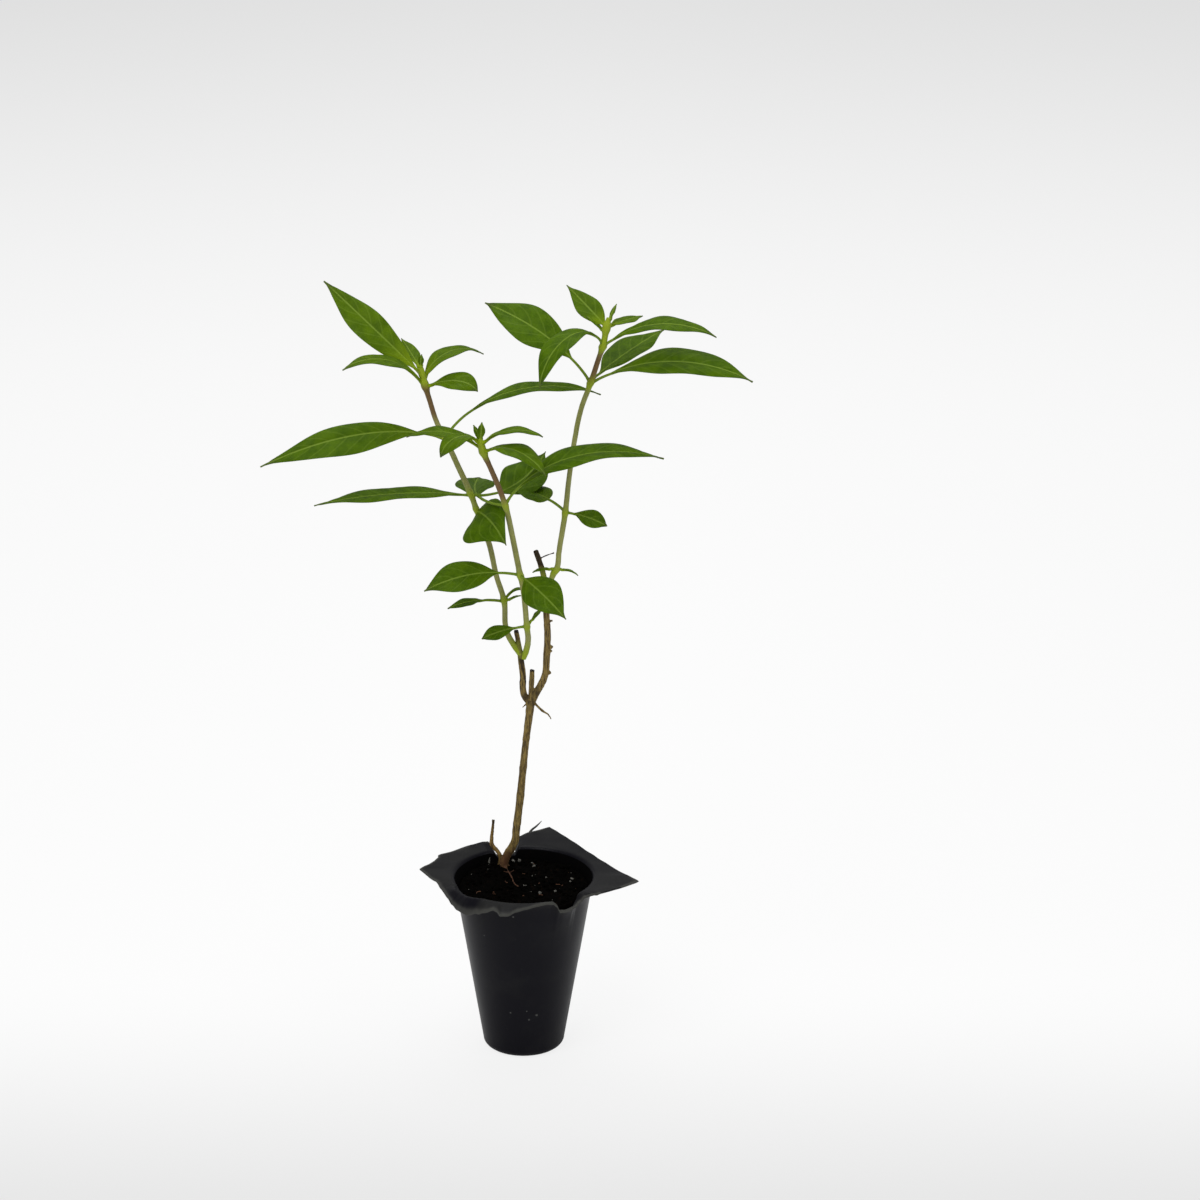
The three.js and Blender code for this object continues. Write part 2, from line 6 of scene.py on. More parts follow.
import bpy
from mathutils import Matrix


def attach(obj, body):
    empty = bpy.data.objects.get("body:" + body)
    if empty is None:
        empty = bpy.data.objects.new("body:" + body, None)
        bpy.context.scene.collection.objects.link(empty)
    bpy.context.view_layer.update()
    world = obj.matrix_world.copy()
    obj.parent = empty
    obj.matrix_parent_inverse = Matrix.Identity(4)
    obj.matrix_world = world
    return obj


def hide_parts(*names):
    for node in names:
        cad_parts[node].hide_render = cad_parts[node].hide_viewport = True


bl_info = {
    "name": "Potted Cuphea",
    "version": (1, 0, 0),
    "blender": (4, 5, 0),
    "location": "View3D > Sidebar > Cuphea",
    "description": "Builds a young cuphea in a thin torn starter pot over its packed frame",
    "category": "Add Mesh",
}

import math
import random

import bmesh
import bpy
from bpy.props import FloatProperty, FloatVectorProperty, IntProperty, PointerProperty
from mathutils import Matrix, Vector, noise

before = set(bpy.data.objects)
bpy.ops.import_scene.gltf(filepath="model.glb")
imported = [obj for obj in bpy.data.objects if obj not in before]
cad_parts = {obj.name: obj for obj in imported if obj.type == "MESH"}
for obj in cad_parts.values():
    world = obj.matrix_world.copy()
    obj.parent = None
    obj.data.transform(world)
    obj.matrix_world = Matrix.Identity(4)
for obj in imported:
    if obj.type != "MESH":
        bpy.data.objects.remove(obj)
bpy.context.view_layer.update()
MM = 0.001

# Sizes of the pot, in millimetres. The wall widens over WALL_RISE above the rounded base, its foot
# stands FOOT_LEAN to the left, and what is above BEND_HEIGHT follows the tears.

RIM_HEIGHT = 70
MOUTH_RADIUS = 26
WALL_TOP_RADIUS = 26
WALL_FOOT_RADIUS = 15.6
WALL_RISE = 63
BASE_CORNER_RADIUS = 3
FOOT_LEAN = 0.35
BEND_HEIGHT = 52
RIM_FILLET = 3
FLANGE_SIDE = 63
FLANGE_START = MOUTH_RADIUS + 1.6

# Turn of one corner of the flange, in degrees

FLANGE_CORNER_TURN = 78

# The drain holes stand in a ring in the pot's floor; its radius is in metres

DRAIN_HOLES = 4
DRAIN_RING_RADIUS = 0.0085

# Sizes of the soil, in millimetres, and how far from its middle the bits on it are scattered

SOIL_EDGE_HEIGHT = 64.5
SOIL_SWELL = 1.2
MOUND_HEIGHT = 2.2
MOUND_RADIUS = 9
SEAT_GAP = 0.4
CRUMB_REACH = 23.2
GRAIN_REACH = 22
FIBRE_REACH = 21

# How many tiny grains and fibres are scattered

TINY_GRAINS = 14
FIBRES = 16

# The wood's knobs and the fineness of its surface, in metres

KNOB_RADIUS = 0.0008
BARK_VOXEL = 0.00022

# The flange round the pot: turn in degrees, how far it reaches there (99 where it is whole), how far
# the rim dips, and how far the outer edge hangs below the rim

TEARS = [
    (3, 99, 0, -0.4), (78, 99, 0, -1), (88, 40, 0, -1), (95, 36, 0, 0), (98, 27.5, 2.5, 0),
    (112, 27.5, 3.5, 0), (117, 34.5, 0.5, -2), (122, 99, 0, -2), (130, 99, 0, -1.8), (148, 38.9, 0, -1),
    (152.5, 39, 0, -1), (155.5, 36.2, 0, -0.7), (162, 36.2, 0, -0.6), (168, 38, 0, -0.4),
    (172.5, 39.8, 0, 0), (180, 36.4, 0, 0.2), (188, 33.6, 0, 0.5), (198, 32.4, 0.3, 1),
    (206, 35, 1.2, 1.8), (212, 35, 1.5, 3.4), (218, 33.6, 1.4, 4.6), (225, 31.4, 1, 5.2),
    (231, 31, 0.5, 5), (237, 31, 0, 4.5), (242, 31, 0, 3.3), (249, 30, 0, 2), (252, 30.6, 0, 2.3),
    (255, 32.6, 0, 3), (260, 32.2, 0, 2.8), (265, 30.6, 0, 1.8), (272, 29.8, 0, 1), (280, 28.8, 0, 0.6),
    (288, 28.4, 0, 0.4), (294, 28.2, 0.2, 0.4), (297, 28.4, 1.4, 0.4), (300, 28.4, 4.2, 0.3),
    (306, 28.2, 4.8, 0.3), (314, 28.2, 4.5, 0.3), (318, 28.8, 2.6, 0.3), (321, 30.4, 0.4, 0.2),
    (324, 33, 0, -0.3), (328, 99, 0, -0.6), (338, 99, 0, -0.8), (348, 44, 0, -1.2), (353, 99, 0, -1),
    (363, 99, 0, -0.4),
]

# Scuffs on the front of the wall: x, height and radius

SCUFFS = [
    (4.9, 19.2, 0.6), (-5, 20.3, 0.45), (2, 17.4, 0.5), (-3.6, 63.4, 0.5), (-14.6, 53, 0.35),
    (1.2, 21.3, 0.3),
]

# A torn sliver that stands up from the flange's back edge: x, y, z and radius

SLIVER = [(1.2, 37.5, 70.3, 0.5), (2.4, 40.5, 71, 0.45), (4.4, 41.4, 72.4, 0.35), (6.3, 42, 74.2, 0.12)]

# Stem routes, each point x, y, z and radius, from the root end to the tip

TRUNK = [
    (-8, 12.5, 56, 1.5), (-8, 12.5, 68, 1.75), (-7, 12.5, 71.5, 1.65), (-3.5, 12, 78.5, 1.5),
    (-3, 12, 83, 1.45), (-1.5, 12, 95.5, 1.5), (1, 12, 120, 1.3), (3, 12, 136.5, 1.6),
]
LEFT_BRANCH = [
    (3, 12, 134.5, 1.2), (0.4, 12.5, 138, 1.3), (-0.1, 12.5, 140.5, 1.25), (-0.1, 12.5, 146.5, 1.15),
    (-0.6, 13, 151, 1.2), (-1, 13, 154.5, 1.1), (-2.5, 13, 164, 0.9),
]
MIDDLE_STUB = [(3, 12, 134.5, 1), (3, 12, 139, 1), (3.5, 12, 148.5, 0.95)]
RIGHT_BRANCH = [
    (3, 12, 134.5, 1.3), (4.8, 12, 139, 1.4), (6.8, 12, 142.5, 1.35), (8.4, 12, 147, 1.3),
    (8.9, 12, 153.5, 1.3), (9.3, 12, 162.5, 1.3), (9, 12, 168.5, 1.2), (8.5, 12, 180.5, 1.1),
    (7.5, 12, 188, 1.05), (5, 12, 196, 1),
]
SURFACE_ROOTS = [
    [(-8, 12.5, 69.5, 1.2), (-9.2, 11.6, 67.6, 0.9), (-10.6, 10.4, 66, 0.5)],
    [(-8, 12.5, 69.5, 1.2), (-7.2, 11, 67.4, 0.9), (-6.3, 8.8, 66, 0.5)],
    [(-8, 12.5, 69.5, 1.2), (-6.4, 13, 67.6, 0.8), (-4.6, 13.6, 66, 0.4)],
]
FORK_ROOTS = [
    [(3.5, 11.8, 136, 0.5), (7.5, 11.3, 132, 0.38), (9.4, 11, 130.8, 0.32), (10.6, 11, 128.8, 0.25)],
    [(2.5, 11.8, 136, 0.4), (-0.3, 11.4, 133.5, 0.22)],
]
CUT_END_TWIG = [
    (6.8, 12, 193, 0.3), (9.3, 12, 194.2, 0.25), (11.3, 12, 194.9, 0.28), (11.9, 12, 195.1, 0.42),
]
KNOBS = [(4.3, 12, 137.3), (9.8, 11.8, 147.5), (10.3, 12, 156), (10.6, 12, 157.6), (10.4, 12, 168)]
DEAD_TWIG = [
    (-10.5, 17.5, 60, 0.8), (-9.6, 15.6, 66.5, 0.85), (-9.2, 14.8, 70.8, 0.8), (-10.6, 15.6, 73.1, 0.8),
    (-12.3, 16.5, 74.8, 0.85), (-12.5, 17, 78, 0.66), (-12.2, 17, 81, 0.55), (-11.8, 17.4, 85, 0.5),
]
LEFT_SHOOT = [
    (-1, 13, 154.5, 1.15), (-3, 13, 157.5, 1.15), (-6, 13, 163.5, 1.05), (-7, 13, 176, 1.05),
    (-9.6, 13.5, 185, 1), (-12.5, 14, 198.5, 1.05), (-17.1, 15, 211.5, 1.05), (-18.8, 15.5, 216.3, 1.1),
    (-24, 16, 228.5, 1.05), (-28.2, 16.5, 238, 1.05), (-31.2, 17, 244, 0.95), (-34.2, 17, 254, 0.95),
    (-35.6, 17, 259, 1.2), (-37.2, 17, 265.5, 0.9),
]
MIDDLE_SHOOT = [
    (0.2, 12.7, 152.8, 1), (1.2, 12.1, 156, 1.2), (2, 11, 160.5, 1.1), (1.6, 9, 167, 1.05),
    (0.2, 7, 183.5, 1.05), (-0.8, 6, 189, 1.1), (-3.3, 4, 203.5, 1.05), (-6, 2.5, 217, 1.05),
    (-11.7, 1, 233, 0.95), (-13.8, 0.5, 238, 1.25), (-14.9, 0, 243, 0.9),
]
RIGHT_SHOOT = [
    (8.5, 12, 178, 0.9), (10, 11.5, 182.5, 1), (11.5, 11.5, 186.5, 1.05), (13, 11.5, 189.5, 1.05),
    (13.7, 11.5, 195.5, 1), (16.1, 12, 211, 1.05), (17.6, 12, 225, 0.95), (19.6, 12, 239, 0.95),
    (22, 12, 251, 0.95), (25.5, 12, 261, 1), (29, 12, 272, 0.95), (30, 12, 275, 1.2),
    (31.5, 12, 283, 1), (32.1, 12, 286, 0.7),
]

# Heights between which the young stem is reddish brown; above them it is yellow green

BLUSH_HEIGHTS = {"left": (246, 258), "middle": (219, 235), "right": (263, 272)}

# Leaves. at: the point on the stem; turn: compass turn of the leaf, 0 to the right, 90 away from the
# front; rise: degrees up at the stem; droop and sway: how far it bends down and turns on its way to
# the tip, early when bend is under 1; roll: turn about the midrib, right edge down; twist: change of
# roll to the tip; belly: where the blade is widest; skew: how much wider its right half is; blunt:
# how full the base of the blade is, 1 as grown and fuller below 1.


def grown(at, turn, rise, petiole, blade, width, **shape):
    """The sizes of one leaf, under their names."""
    return dict(at=at, turn=turn, rise=rise, petiole=petiole, blade=blade, width=width, **shape)


LEFT_SHOOT_LEAVES = {
    "low_left": grown((-7, 13, 175.5), 195, 15, 8, 14, 5, droop=35, roll=-15),
    "middle_left": grown((-18.8, 15.5, 216.6), 180, 5, 2, 57, 10.5, droop=18, roll=-9),
    "middle_right": grown(
        (-18.6, 15.5, 216.8), 355, -14, 10, 27, 19, droop=-50, sway=65, bend=0.6, roll=12, belly=0.42),
    "middle_front": grown(
        (-16.8, 14.9, 210.6), 296, 8, 1, 26, 19, droop=40, roll=48, belly=0.44, skew=0.22, blunt=0.6),
    "upper_left": grown(
        (-28.2, 16.5, 238), 188, 31, 10, 61, 13.4, droop=56, bend=0.5, roll=-42, belly=0.44, skew=-0.2),
    "upper_right": grown((-28.2, 16.5, 238.5), 20, 65, 14, 53, 8.5, droop=88, bend=0.6, roll=10),
    "top_back_left": grown((-36.6, 17.2, 262.8), 154, 37, 2, 49, 12.5, roll=-36, skew=-0.1),
    "top_front_left": grown(
        (-35.3, 17, 258.2), 201, 56, 1, 36, 10.5, droop=86, bend=1.2, roll=-8, skew=-0.15),
    "top_back": grown((-37.2, 17, 265.2), 115, 21, 1, 18, 5.5, skew=0.2),
    "top_right": grown((-36, 17, 260.5), 30, 76, 1, 29, 10.5, droop=110, bend=0.8, belly=0.45),
    "top_front_right": grown(
        (-35.5, 17, 258.5), 345, 18, 1, 20.5, 10, droop=70, bend=2.5, roll=25, belly=0.62),
}
MIDDLE_SHOOT_LEAVES = {
    "low_left": grown((1.5, 9, 167), 200, 2, 4, 14, 6, droop=22, roll=-40, belly=0.58),
    "middle_left": grown((-1, 6, 188.5), 200, 17, 8, 30, 13.5, droop=40, roll=-35),
    "middle_right": grown((-1, 6, 188.5), 308, -11, 3, 27, 14.5, droop=15, roll=30, belly=0.42),
    "upper_left": grown((-6, 2.5, 217), 172, -6, 17, 24, 15, droop=-6, sway=-95, bend=0.45, belly=0.6),
    "upper_right": grown((-6, 2.5, 217), 358, 66, 8, 58, 15, droop=82, bend=0.7, roll=30, twist=-34),
    "top_front_left": grown(
        (-14.6, 0, 241.5), 209, 52, 1, 20, 12.5, droop=128, bend=1.1, belly=0.62, skew=-0.28),
    "top_left": grown((-14.2, 0.2, 239.5), 170, 38, 2, 28, 9, droop=64, roll=-5),
    "top_right": grown((-14.6, 0, 241.5), 345, 45, 1, 24.5, 8, droop=68),
    "top_front_right": grown((-13.8, 0.5, 238.5), 324, 30, 1, 30, 12.5, droop=76),
}
RIGHT_SHOOT_LEAVES = {
    "low_left": grown((16.1, 12, 211), 157, 50, 8, 19.5, 14.5, droop=60, bend=0.6, belly=0.34, blunt=0.5),
    "low_right": grown((16.1, 12, 211), 340, 0, 3, 14, 7.4, droop=24, roll=42, belly=0.56),
    "middle_left": grown((25.5, 12, 261), 155, 64, 11, 40, 17, droop=50, bend=0.5, roll=-31),
    "middle_right": grown((25.5, 12, 261), 350, 33, 8, 55, 16, droop=59, roll=20),
    "middle_back": grown((26, 12, 262.5), 50, 18, 4, 39, 15, droop=10, skew=-0.15),
    "upper_left": grown((30, 12, 275), 222, 84, 5, 38, 12.5, droop=164, bend=0.64),
    "upper_right": grown((30, 12, 275), 345, 43, 4, 42, 10.5, droop=68, roll=12),
    "top_left": grown((31.5, 12, 282.5), 137, 31, 1, 22.5, 9, roll=-30, belly=0.42),
    "top_right": grown((31.6, 12, 283), 35, 4, 1, 15, 7.5),
}

# Leaflets that belong to the shoot they grow from

LEFT_SHOOT_LEAFLETS = [
    grown((-7, 13, 175.5), 10, 70, 2, 12, 2.4, droop=140, bend=1.2),
    grown((-7, 13, 175.5), 335, 35, 2, 6, 2, droop=20),
    grown((-37.1, 17, 265), 60, 80, 1, 4.5, 2.4),
]
MIDDLE_SHOOT_LEAFLETS = [
    grown((1.5, 9, 167), 20, 50, 3, 6, 3, droop=10),
    grown((-14.7, 0, 242), 150, 64, 1, 6, 3),
    grown((-14.7, 0, 242), 75, 76, 1, 6.5, 3),
]
RIGHT_SHOOT_LEAFLETS = [
    grown((12.5, 11.5, 188.5), 185, 20, 2, 7, 3, droop=50),
    grown((12.5, 11.5, 188.5), 0, 15, 2, 7, 1.6, droop=60),
    grown((32, 12, 284.5), 50, 50, 1, 6.5, 1.8),
    grown((31.2, 12, 280.8), 163, 34, 1, 8, 2.4),
]
SHOOTS = {
    "left": (LEFT_SHOOT, LEFT_SHOOT_LEAVES, LEFT_SHOOT_LEAFLETS),
    "middle": (MIDDLE_SHOOT, MIDDLE_SHOOT_LEAVES, MIDDLE_SHOOT_LEAFLETS),
    "right": (RIGHT_SHOOT, RIGHT_SHOOT_LEAVES, RIGHT_SHOOT_LEAFLETS),
}

# Bits on the soil: white grains and a fine root by x, y and radius, a pale shard by x, y, z and radius

PERLITE = [
    (-2, 19.5, 0.7), (-4.3, 17.5, 0.5), (2.8, 18, 0.6), (3.6, 16.4, 0.45), (18.3, 3.4, 0.55),
    (17.6, 1.8, 0.4), (-13.8, 11.4, 0.35), (0.5, -2.3, 0.5), (12, -6.6, 0.5), (6.3, -9, 0.75),
    (8.4, 6, 0.35),
]
SHARD = [(-13.8, 17.4, 65.6, 0.3), (-13.6, 17.5, 67.4, 0.45), (-13.3, 17.5, 69.2, 0.16)]
FINE_ROOT = [(-7.6, 11, 0.4), (-6.2, 8, 0.3), (-4.9, 4.4, 0.26), (-3.6, 0.6, 0.24), (-1.6, -3.2, 0.18)]

# How yellow a leaf is at its base, 0 for none and 1 for all

GROWN_YOUTH = 0.12
YOUNG_YOUTH = 0.75
LEAFLET_YOUTH = 0.5

# Shape of a blade: its fold in degrees, and the millimetres of blade to each pair of side veins

BLADE_FOLD = 9
VEIN_SPACING = 6.5

# Camera and light, in metres, degrees, millimetres of lens and watts

CAMERA_PLACE = (0.029, -1.4701, 0.7100)
CAMERA_TILT = 70.2
CAMERA_LENS = 126.24
LAMP_TARGET = (0, 0, 0.16)
LAMPS = [
    ("key_light", (-0.6, -0.9, 1.6), 1.2, 14.0),
    ("fill_light", (0.9, -0.7, 0.8), 1.0, 3.0),
    ("top_light", (0.0, 0.35, 1.5), 1.2, 8.0),
]
WORLD_STRENGTH = 0.38
FLOOR_SIZE = 14


# Small tools


def deselect_all():
    """Leave nothing selected, as an operator acts on all that is."""
    bpy.ops.object.select_all(action="DESELECT")


def make_active(piece):
    """Select one object alone and make it active."""
    deselect_all()
    piece.select_set(True)
    bpy.context.view_layer.objects.active = piece


def apply_modifier(piece, kind, **values):
    """Add one modifier, set its values and apply it."""
    make_active(piece)
    bpy.ops.object.modifier_add(type=kind)
    modifier = piece.modifiers[-1]
    for key, value in values.items():
        setattr(modifier, key, value)
    bpy.ops.object.modifier_apply(modifier=modifier.name)


def joined(pieces, name):
    """Join several objects into the first and name it."""
    deselect_all()
    for piece in pieces:
        piece.select_set(True)
    bpy.context.view_layer.objects.active = pieces[0]
    if len(pieces) > 1:
        bpy.ops.object.join()
    pieces[0].name = name
    pieces[0].data.name = name
    return pieces[0]


def laid_grid(name, across, along, place):
    """A grid whose every point is laid at place(u, v), with u and v from 0 to 1."""
    deselect_all()
    bpy.ops.mesh.primitive_grid_add(x_subdivisions=across, y_subdivisions=along, size=2, location=(0, 0, 0))
    grid = bpy.context.object
    grid.name = name
    grid.data.name = name
    for vertex in grid.data.vertices:
        vertex.co = place((vertex.co.x + 1) / 2, (vertex.co.y + 1) / 2)
    return grid


def merged(piece, distance=0.00001):
    """Close seams and poles, then turn all faces outwards."""
    make_active(piece)
    bpy.ops.object.mode_set(mode="EDIT")
    bpy.ops.mesh.select_all(action="SELECT")
    bpy.ops.mesh.remove_doubles(threshold=distance)
    bpy.ops.mesh.normals_make_consistent(inside=False)
    bpy.ops.object.mode_set(mode="OBJECT")
    return piece


def smooth(piece, angle):
    """Shade smooth but for edges sharper than the angle in degrees."""
    make_active(piece)
    bpy.ops.object.shade_smooth_by_angle(angle=math.radians(angle))


def stem_tube(name, route, rounds, steps):
    """A smooth tapering tube through points of x, y, z and radius in millimetres."""
    deselect_all()
    bpy.ops.curve.primitive_bezier_curve_add(location=(0, 0, 0))
    tube = bpy.context.object
    tube.name = name
    curve = tube.data
    curve.splines.clear()
    spline = curve.splines.new("BEZIER")
    spline.bezier_points.add(len(route) - 1)
    for point, (x, y, z, radius) in zip(spline.bezier_points, route):
        point.co = Vector((x, y, z)) * MM
        point.radius = radius
        point.handle_left_type = "AUTO"
        point.handle_right_type = "AUTO"
    curve.resolution_u = steps
    curve.bevel_depth = MM
    curve.bevel_resolution = rounds
    curve.use_fill_caps = True
    make_active(tube)
    bpy.ops.object.convert(target="MESH")
    tube.data.name = name
    return merged(tube)


def set_attribute(piece, name, value_at):
    """Store a number for each vertex, worked out from its place and its index."""
    attribute = piece.data.attributes.new(name, "FLOAT", "POINT")
    values = [value_at(vertex.co, vertex.index) for vertex in piece.data.vertices]
    attribute.data.foreach_set("value", values)


def push_along_normals(piece, depth_at):
    """Move each vertex along its normal by depth_at(place)."""
    moves = [vertex.normal * depth_at(vertex.co) for vertex in piece.data.vertices]
    for vertex, move in zip(piece.data.vertices, moves):
        vertex.co += move
    piece.data.update()


def wear(piece, *materials):
    """Give a piece its materials, in the order of its slots."""
    piece.data.materials.clear()
    for material in materials:
        piece.data.materials.append(material)


def claim(piece, slot, *nodes):
    """Tie a finished piece to the frame's root body and hide the frame nodes it stands for; its slot is not
    used.
    """
    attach(piece, "root")
    if nodes:
        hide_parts(*nodes)


def ease(low, high, value):
    """0 below low, 1 above high, and smooth between."""
    share = min(max((value - low) / (high - low), 0), 1)
    return share * share * (3 - 2 * share)


# Material building blocks


class Board:
    """A material's node tree, with short calls to place and wire its nodes."""

    def __init__(self, tree):
        self.tree = tree

    def add(self, kind, **values):
        node = self.tree.nodes.new(kind)
        for key, value in values.items():
            setattr(node, key, value)
        return node

    def link(self, source, target):
        self.tree.links.new(source, target)

    def feed(self, target, value):
        if hasattr(value, "is_linked"):
            self.link(value, target)
        else:
            target.default_value = value

    def feed_all(self, node, values):
        for socket, value in values.items():
            self.feed(node.inputs[socket], value)

    def math(self, operation, first, second=0.0):
        node = self.add("ShaderNodeMath", operation=operation)
        self.feed_all(node, {0: first, 1: second})
        return node.outputs[0]

    def plus(self, first, second):
        return self.math("ADD", first, second)

    def minus(self, first, second):
        return self.math("SUBTRACT", first, second)

    def times(self, first, second):
        return self.math("MULTIPLY", first, second)

    def span(self, value, low, high, to_low=0.0, to_high=1.0):
        node = self.add("ShaderNodeMapRange", interpolation_type="SMOOTHSTEP")
        self.feed_all(node, {"Value": value, "From Min": low, "From Max": high})
        self.feed_all(node, {"To Min": to_low, "To Max": to_high})
        return node.outputs["Result"]

    def mix(self, factor, first, second):
        node = self.add("ShaderNodeMix", data_type="RGBA")
        self.feed_all(node, {0: factor, 6: first, 7: second})
        return node.outputs[2]

    def object_place(self, stretch=(1, 1, 1)):
        place = self.add("ShaderNodeTexCoord")
        mapping = self.add("ShaderNodeMapping")
        mapping.inputs["Scale"].default_value = stretch
        self.link(place.outputs["Object"], mapping.inputs["Vector"])
        return mapping.outputs["Vector"]

    def noise(self, scale, detail=3.0, roughness=0.5, stretch=(1, 1, 1)):
        node = self.add("ShaderNodeTexNoise")
        self.link(self.object_place(stretch), node.inputs["Vector"])
        self.feed_all(node, {"Scale": scale, "Detail": detail, "Roughness": roughness})
        return node.outputs["Fac"]

    def attribute(self, name):
        return self.add("ShaderNodeAttribute", attribute_name=name).outputs["Fac"]

    def group(self, tree, **values):
        node = self.add("ShaderNodeGroup", node_tree=tree)
        for key, value in values.items():
            self.feed(node.inputs[key.replace("_", " ")], value)
        return node

    def bump(self, height, strength, distance):
        node = self.add("ShaderNodeBump")
        self.feed_all(node, {"Strength": strength, "Distance": distance, "Height": height})
        return node.outputs["Normal"]


def colour(rgb):
    """An opaque colour of three parts."""
    return (rgb[0], rgb[1], rgb[2], 1.0)


def new_material(name, **shader_values):
    """A material with one Principled shader whose plain values are set on its own sockets."""
    material = bpy.data.materials.new(name)
    material.use_nodes = True
    board = Board(material.node_tree)
    shader = material.node_tree.nodes["Principled BSDF"]
    for key, value in shader_values.items():
        shader.inputs[key.replace("_", " ")].default_value = value
    return material, board, shader


def finish_shader(board, shader, shade, relief, strength, distance):
    """Give a shader its colour and its relief."""
    board.link(shade, shader.inputs["Base Color"])
    board.link(board.bump(relief, strength, distance), shader.inputs["Normal"])


def new_group(name, inputs, outputs):
    """A node group with named sockets; returns its tree, a board, and its input and output nodes."""
    tree = bpy.data.node_groups.new(name, "ShaderNodeTree")
    for label, kind, value in inputs:
        socket = tree.interface.new_socket(label, in_out="INPUT", socket_type=kind)
        socket.default_value = value
    for label, kind in outputs:
        tree.interface.new_socket(label, in_out="OUTPUT", socket_type=kind)
    board = Board(tree)
    return tree, board, board.add("NodeGroupInput"), board.add("NodeGroupOutput")


def mottling_group():
    """Cloudy light and dark patches with a fine grain, for anything that grew."""
    if "Grown Mottling" in bpy.data.node_groups:
        return bpy.data.node_groups["Grown Mottling"]
    sockets = [("Dark", "NodeSocketColor", (0, 0, 0, 1)), ("Light", "NodeSocketColor", (1, 1, 1, 1)),
               ("Contrast", "NodeSocketFloat", 0.5)]
    tree, board, source, result = new_group(
        "Grown Mottling", sockets, [("Color", "NodeSocketColor"), ("Grain", "NodeSocketFloat")])
    clouds = board.span(board.noise(210, 3, 0.6), 0.3, 0.7)
    grain = board.noise(1900, 4, 0.65)
    blend = board.plus(board.times(clouds, 0.6), board.times(grain, 0.4))
    factor = board.times(blend, source.outputs["Contrast"])
    shade = board.mix(factor, source.outputs["Dark"], source.outputs["Light"])
    board.link(shade, result.inputs["Color"])
    board.link(grain, result.inputs["Grain"])
    return tree


def vein_group():
    """The midrib and the arching side veins, from the numbers stored on a leaf."""
    if "Leaf Veins" in bpy.data.node_groups:
        return bpy.data.node_groups["Leaf Veins"]
    sockets = [("Rib Half Width", "NodeSocketFloat", 0.0003), ("Vein Share", "NodeSocketFloat", 0.07)]
    tree, board, source, result = new_group(
        "Leaf Veins", sockets, [("Rib", "NodeSocketFloat"), ("Vein", "NodeSocketFloat")])
    distance = board.attribute("rib_distance")
    over = board.math("DIVIDE", distance, source.outputs["Rib Half Width"])
    rib = board.minus(1.0, board.span(over, 0.55, 1.35))
    nearest = board.math("PINGPONG", board.attribute("vein_phase"), 0.5)
    off_vein = board.math("DIVIDE", nearest, source.outputs["Vein Share"])
    vein = board.minus(1.0, board.span(off_vein, 0.2, 1.3))
    board.link(rib, result.inputs["Rib"])
    board.link(vein, result.inputs["Vein"])
    return tree


# Sizes and colours that a user would change


def metres(name, description, default, low, high):
    """A setting that is a length in metres."""
    return FloatProperty(
        name=name, description=description, unit="LENGTH", default=default, min=low, max=high)


def tinted(name, description, default):
    """A setting that is a colour of three parts."""
    return FloatVectorProperty(
        name=name, description=description, subtype="COLOR", size=3, default=default, min=0, max=1)


class CupheaPotSettings(bpy.types.PropertyGroup):
    sheet: metres("Sheet", "Thickness of the pot's plastic", 0.0007, 0.0003, 0.002)
    drain_radius: metres("Drain Holes", "Radius of the drain holes", 0.002, 0.0005, 0.004)
    plastic: tinted("Plastic", "Colour of the pot", (0.0022, 0.002, 0.0046))
    # Dust colour, also used for the painted sheen on the flange
    dust_and_sheen: tinted("Dust", "Colour of dust and scuffs on the pot", (0.05, 0.051, 0.042))


class CupheaSoilSettings(bpy.types.PropertyGroup):
    crumbs: IntProperty(
        name="Crumbs", description="Number of loose crumbs on the soil", default=420, min=0, max=1200)
    seed: IntProperty(name="Seed", description="Seed for the scatter of crumbs", default=7, min=0)
    mix: tinted("Soil", "Colour of the potting mix", (0.001, 0.0008, 0.0006))
    perlite: tinted("Perlite", "Colour of the white grains", (0.17, 0.165, 0.145))


class CupheaWoodSettings(bpy.types.PropertyGroup):
    bark_light: tinted("Light Bark", "Colour of clean bark", (0.25, 0.175, 0.05))
    bark_dark: tinted("Dark Bark", "Colour of bark in its furrows", (0.055, 0.034, 0.012))
    wound: tinted("Cut Ends", "Colour of dried cut ends", (0.012, 0.007, 0.004))


class CupheaLeafSettings(bpy.types.PropertyGroup):
    thickness: metres("Thickness", "Thickness of a blade", 0.00034, 0.0001, 0.001)
    leaf_dark: tinted("Dark Leaf", "Darker green of grown leaves", (0.036, 0.082, 0.0009))
    leaf_light: tinted("Light Leaf", "Lighter green of grown leaves", (0.086, 0.162, 0.0018))
    young: tinted("Young Leaf", "Yellow green of young leaf bases", (0.22, 0.31, 0.006))
    rib: tinted("Midrib", "Colour of the midrib", (0.17, 0.26, 0.03))
    underside: tinted("Underside", "Colour of the leaf's underside", (0.1, 0.155, 0.022))
    shoot: tinted("Shoot", "Colour of green shoots", (0.3, 0.31, 0.085))
    blush: tinted("Blush", "Reddish brown of the youngest stem", (0.15, 0.07, 0.03))


# Materials


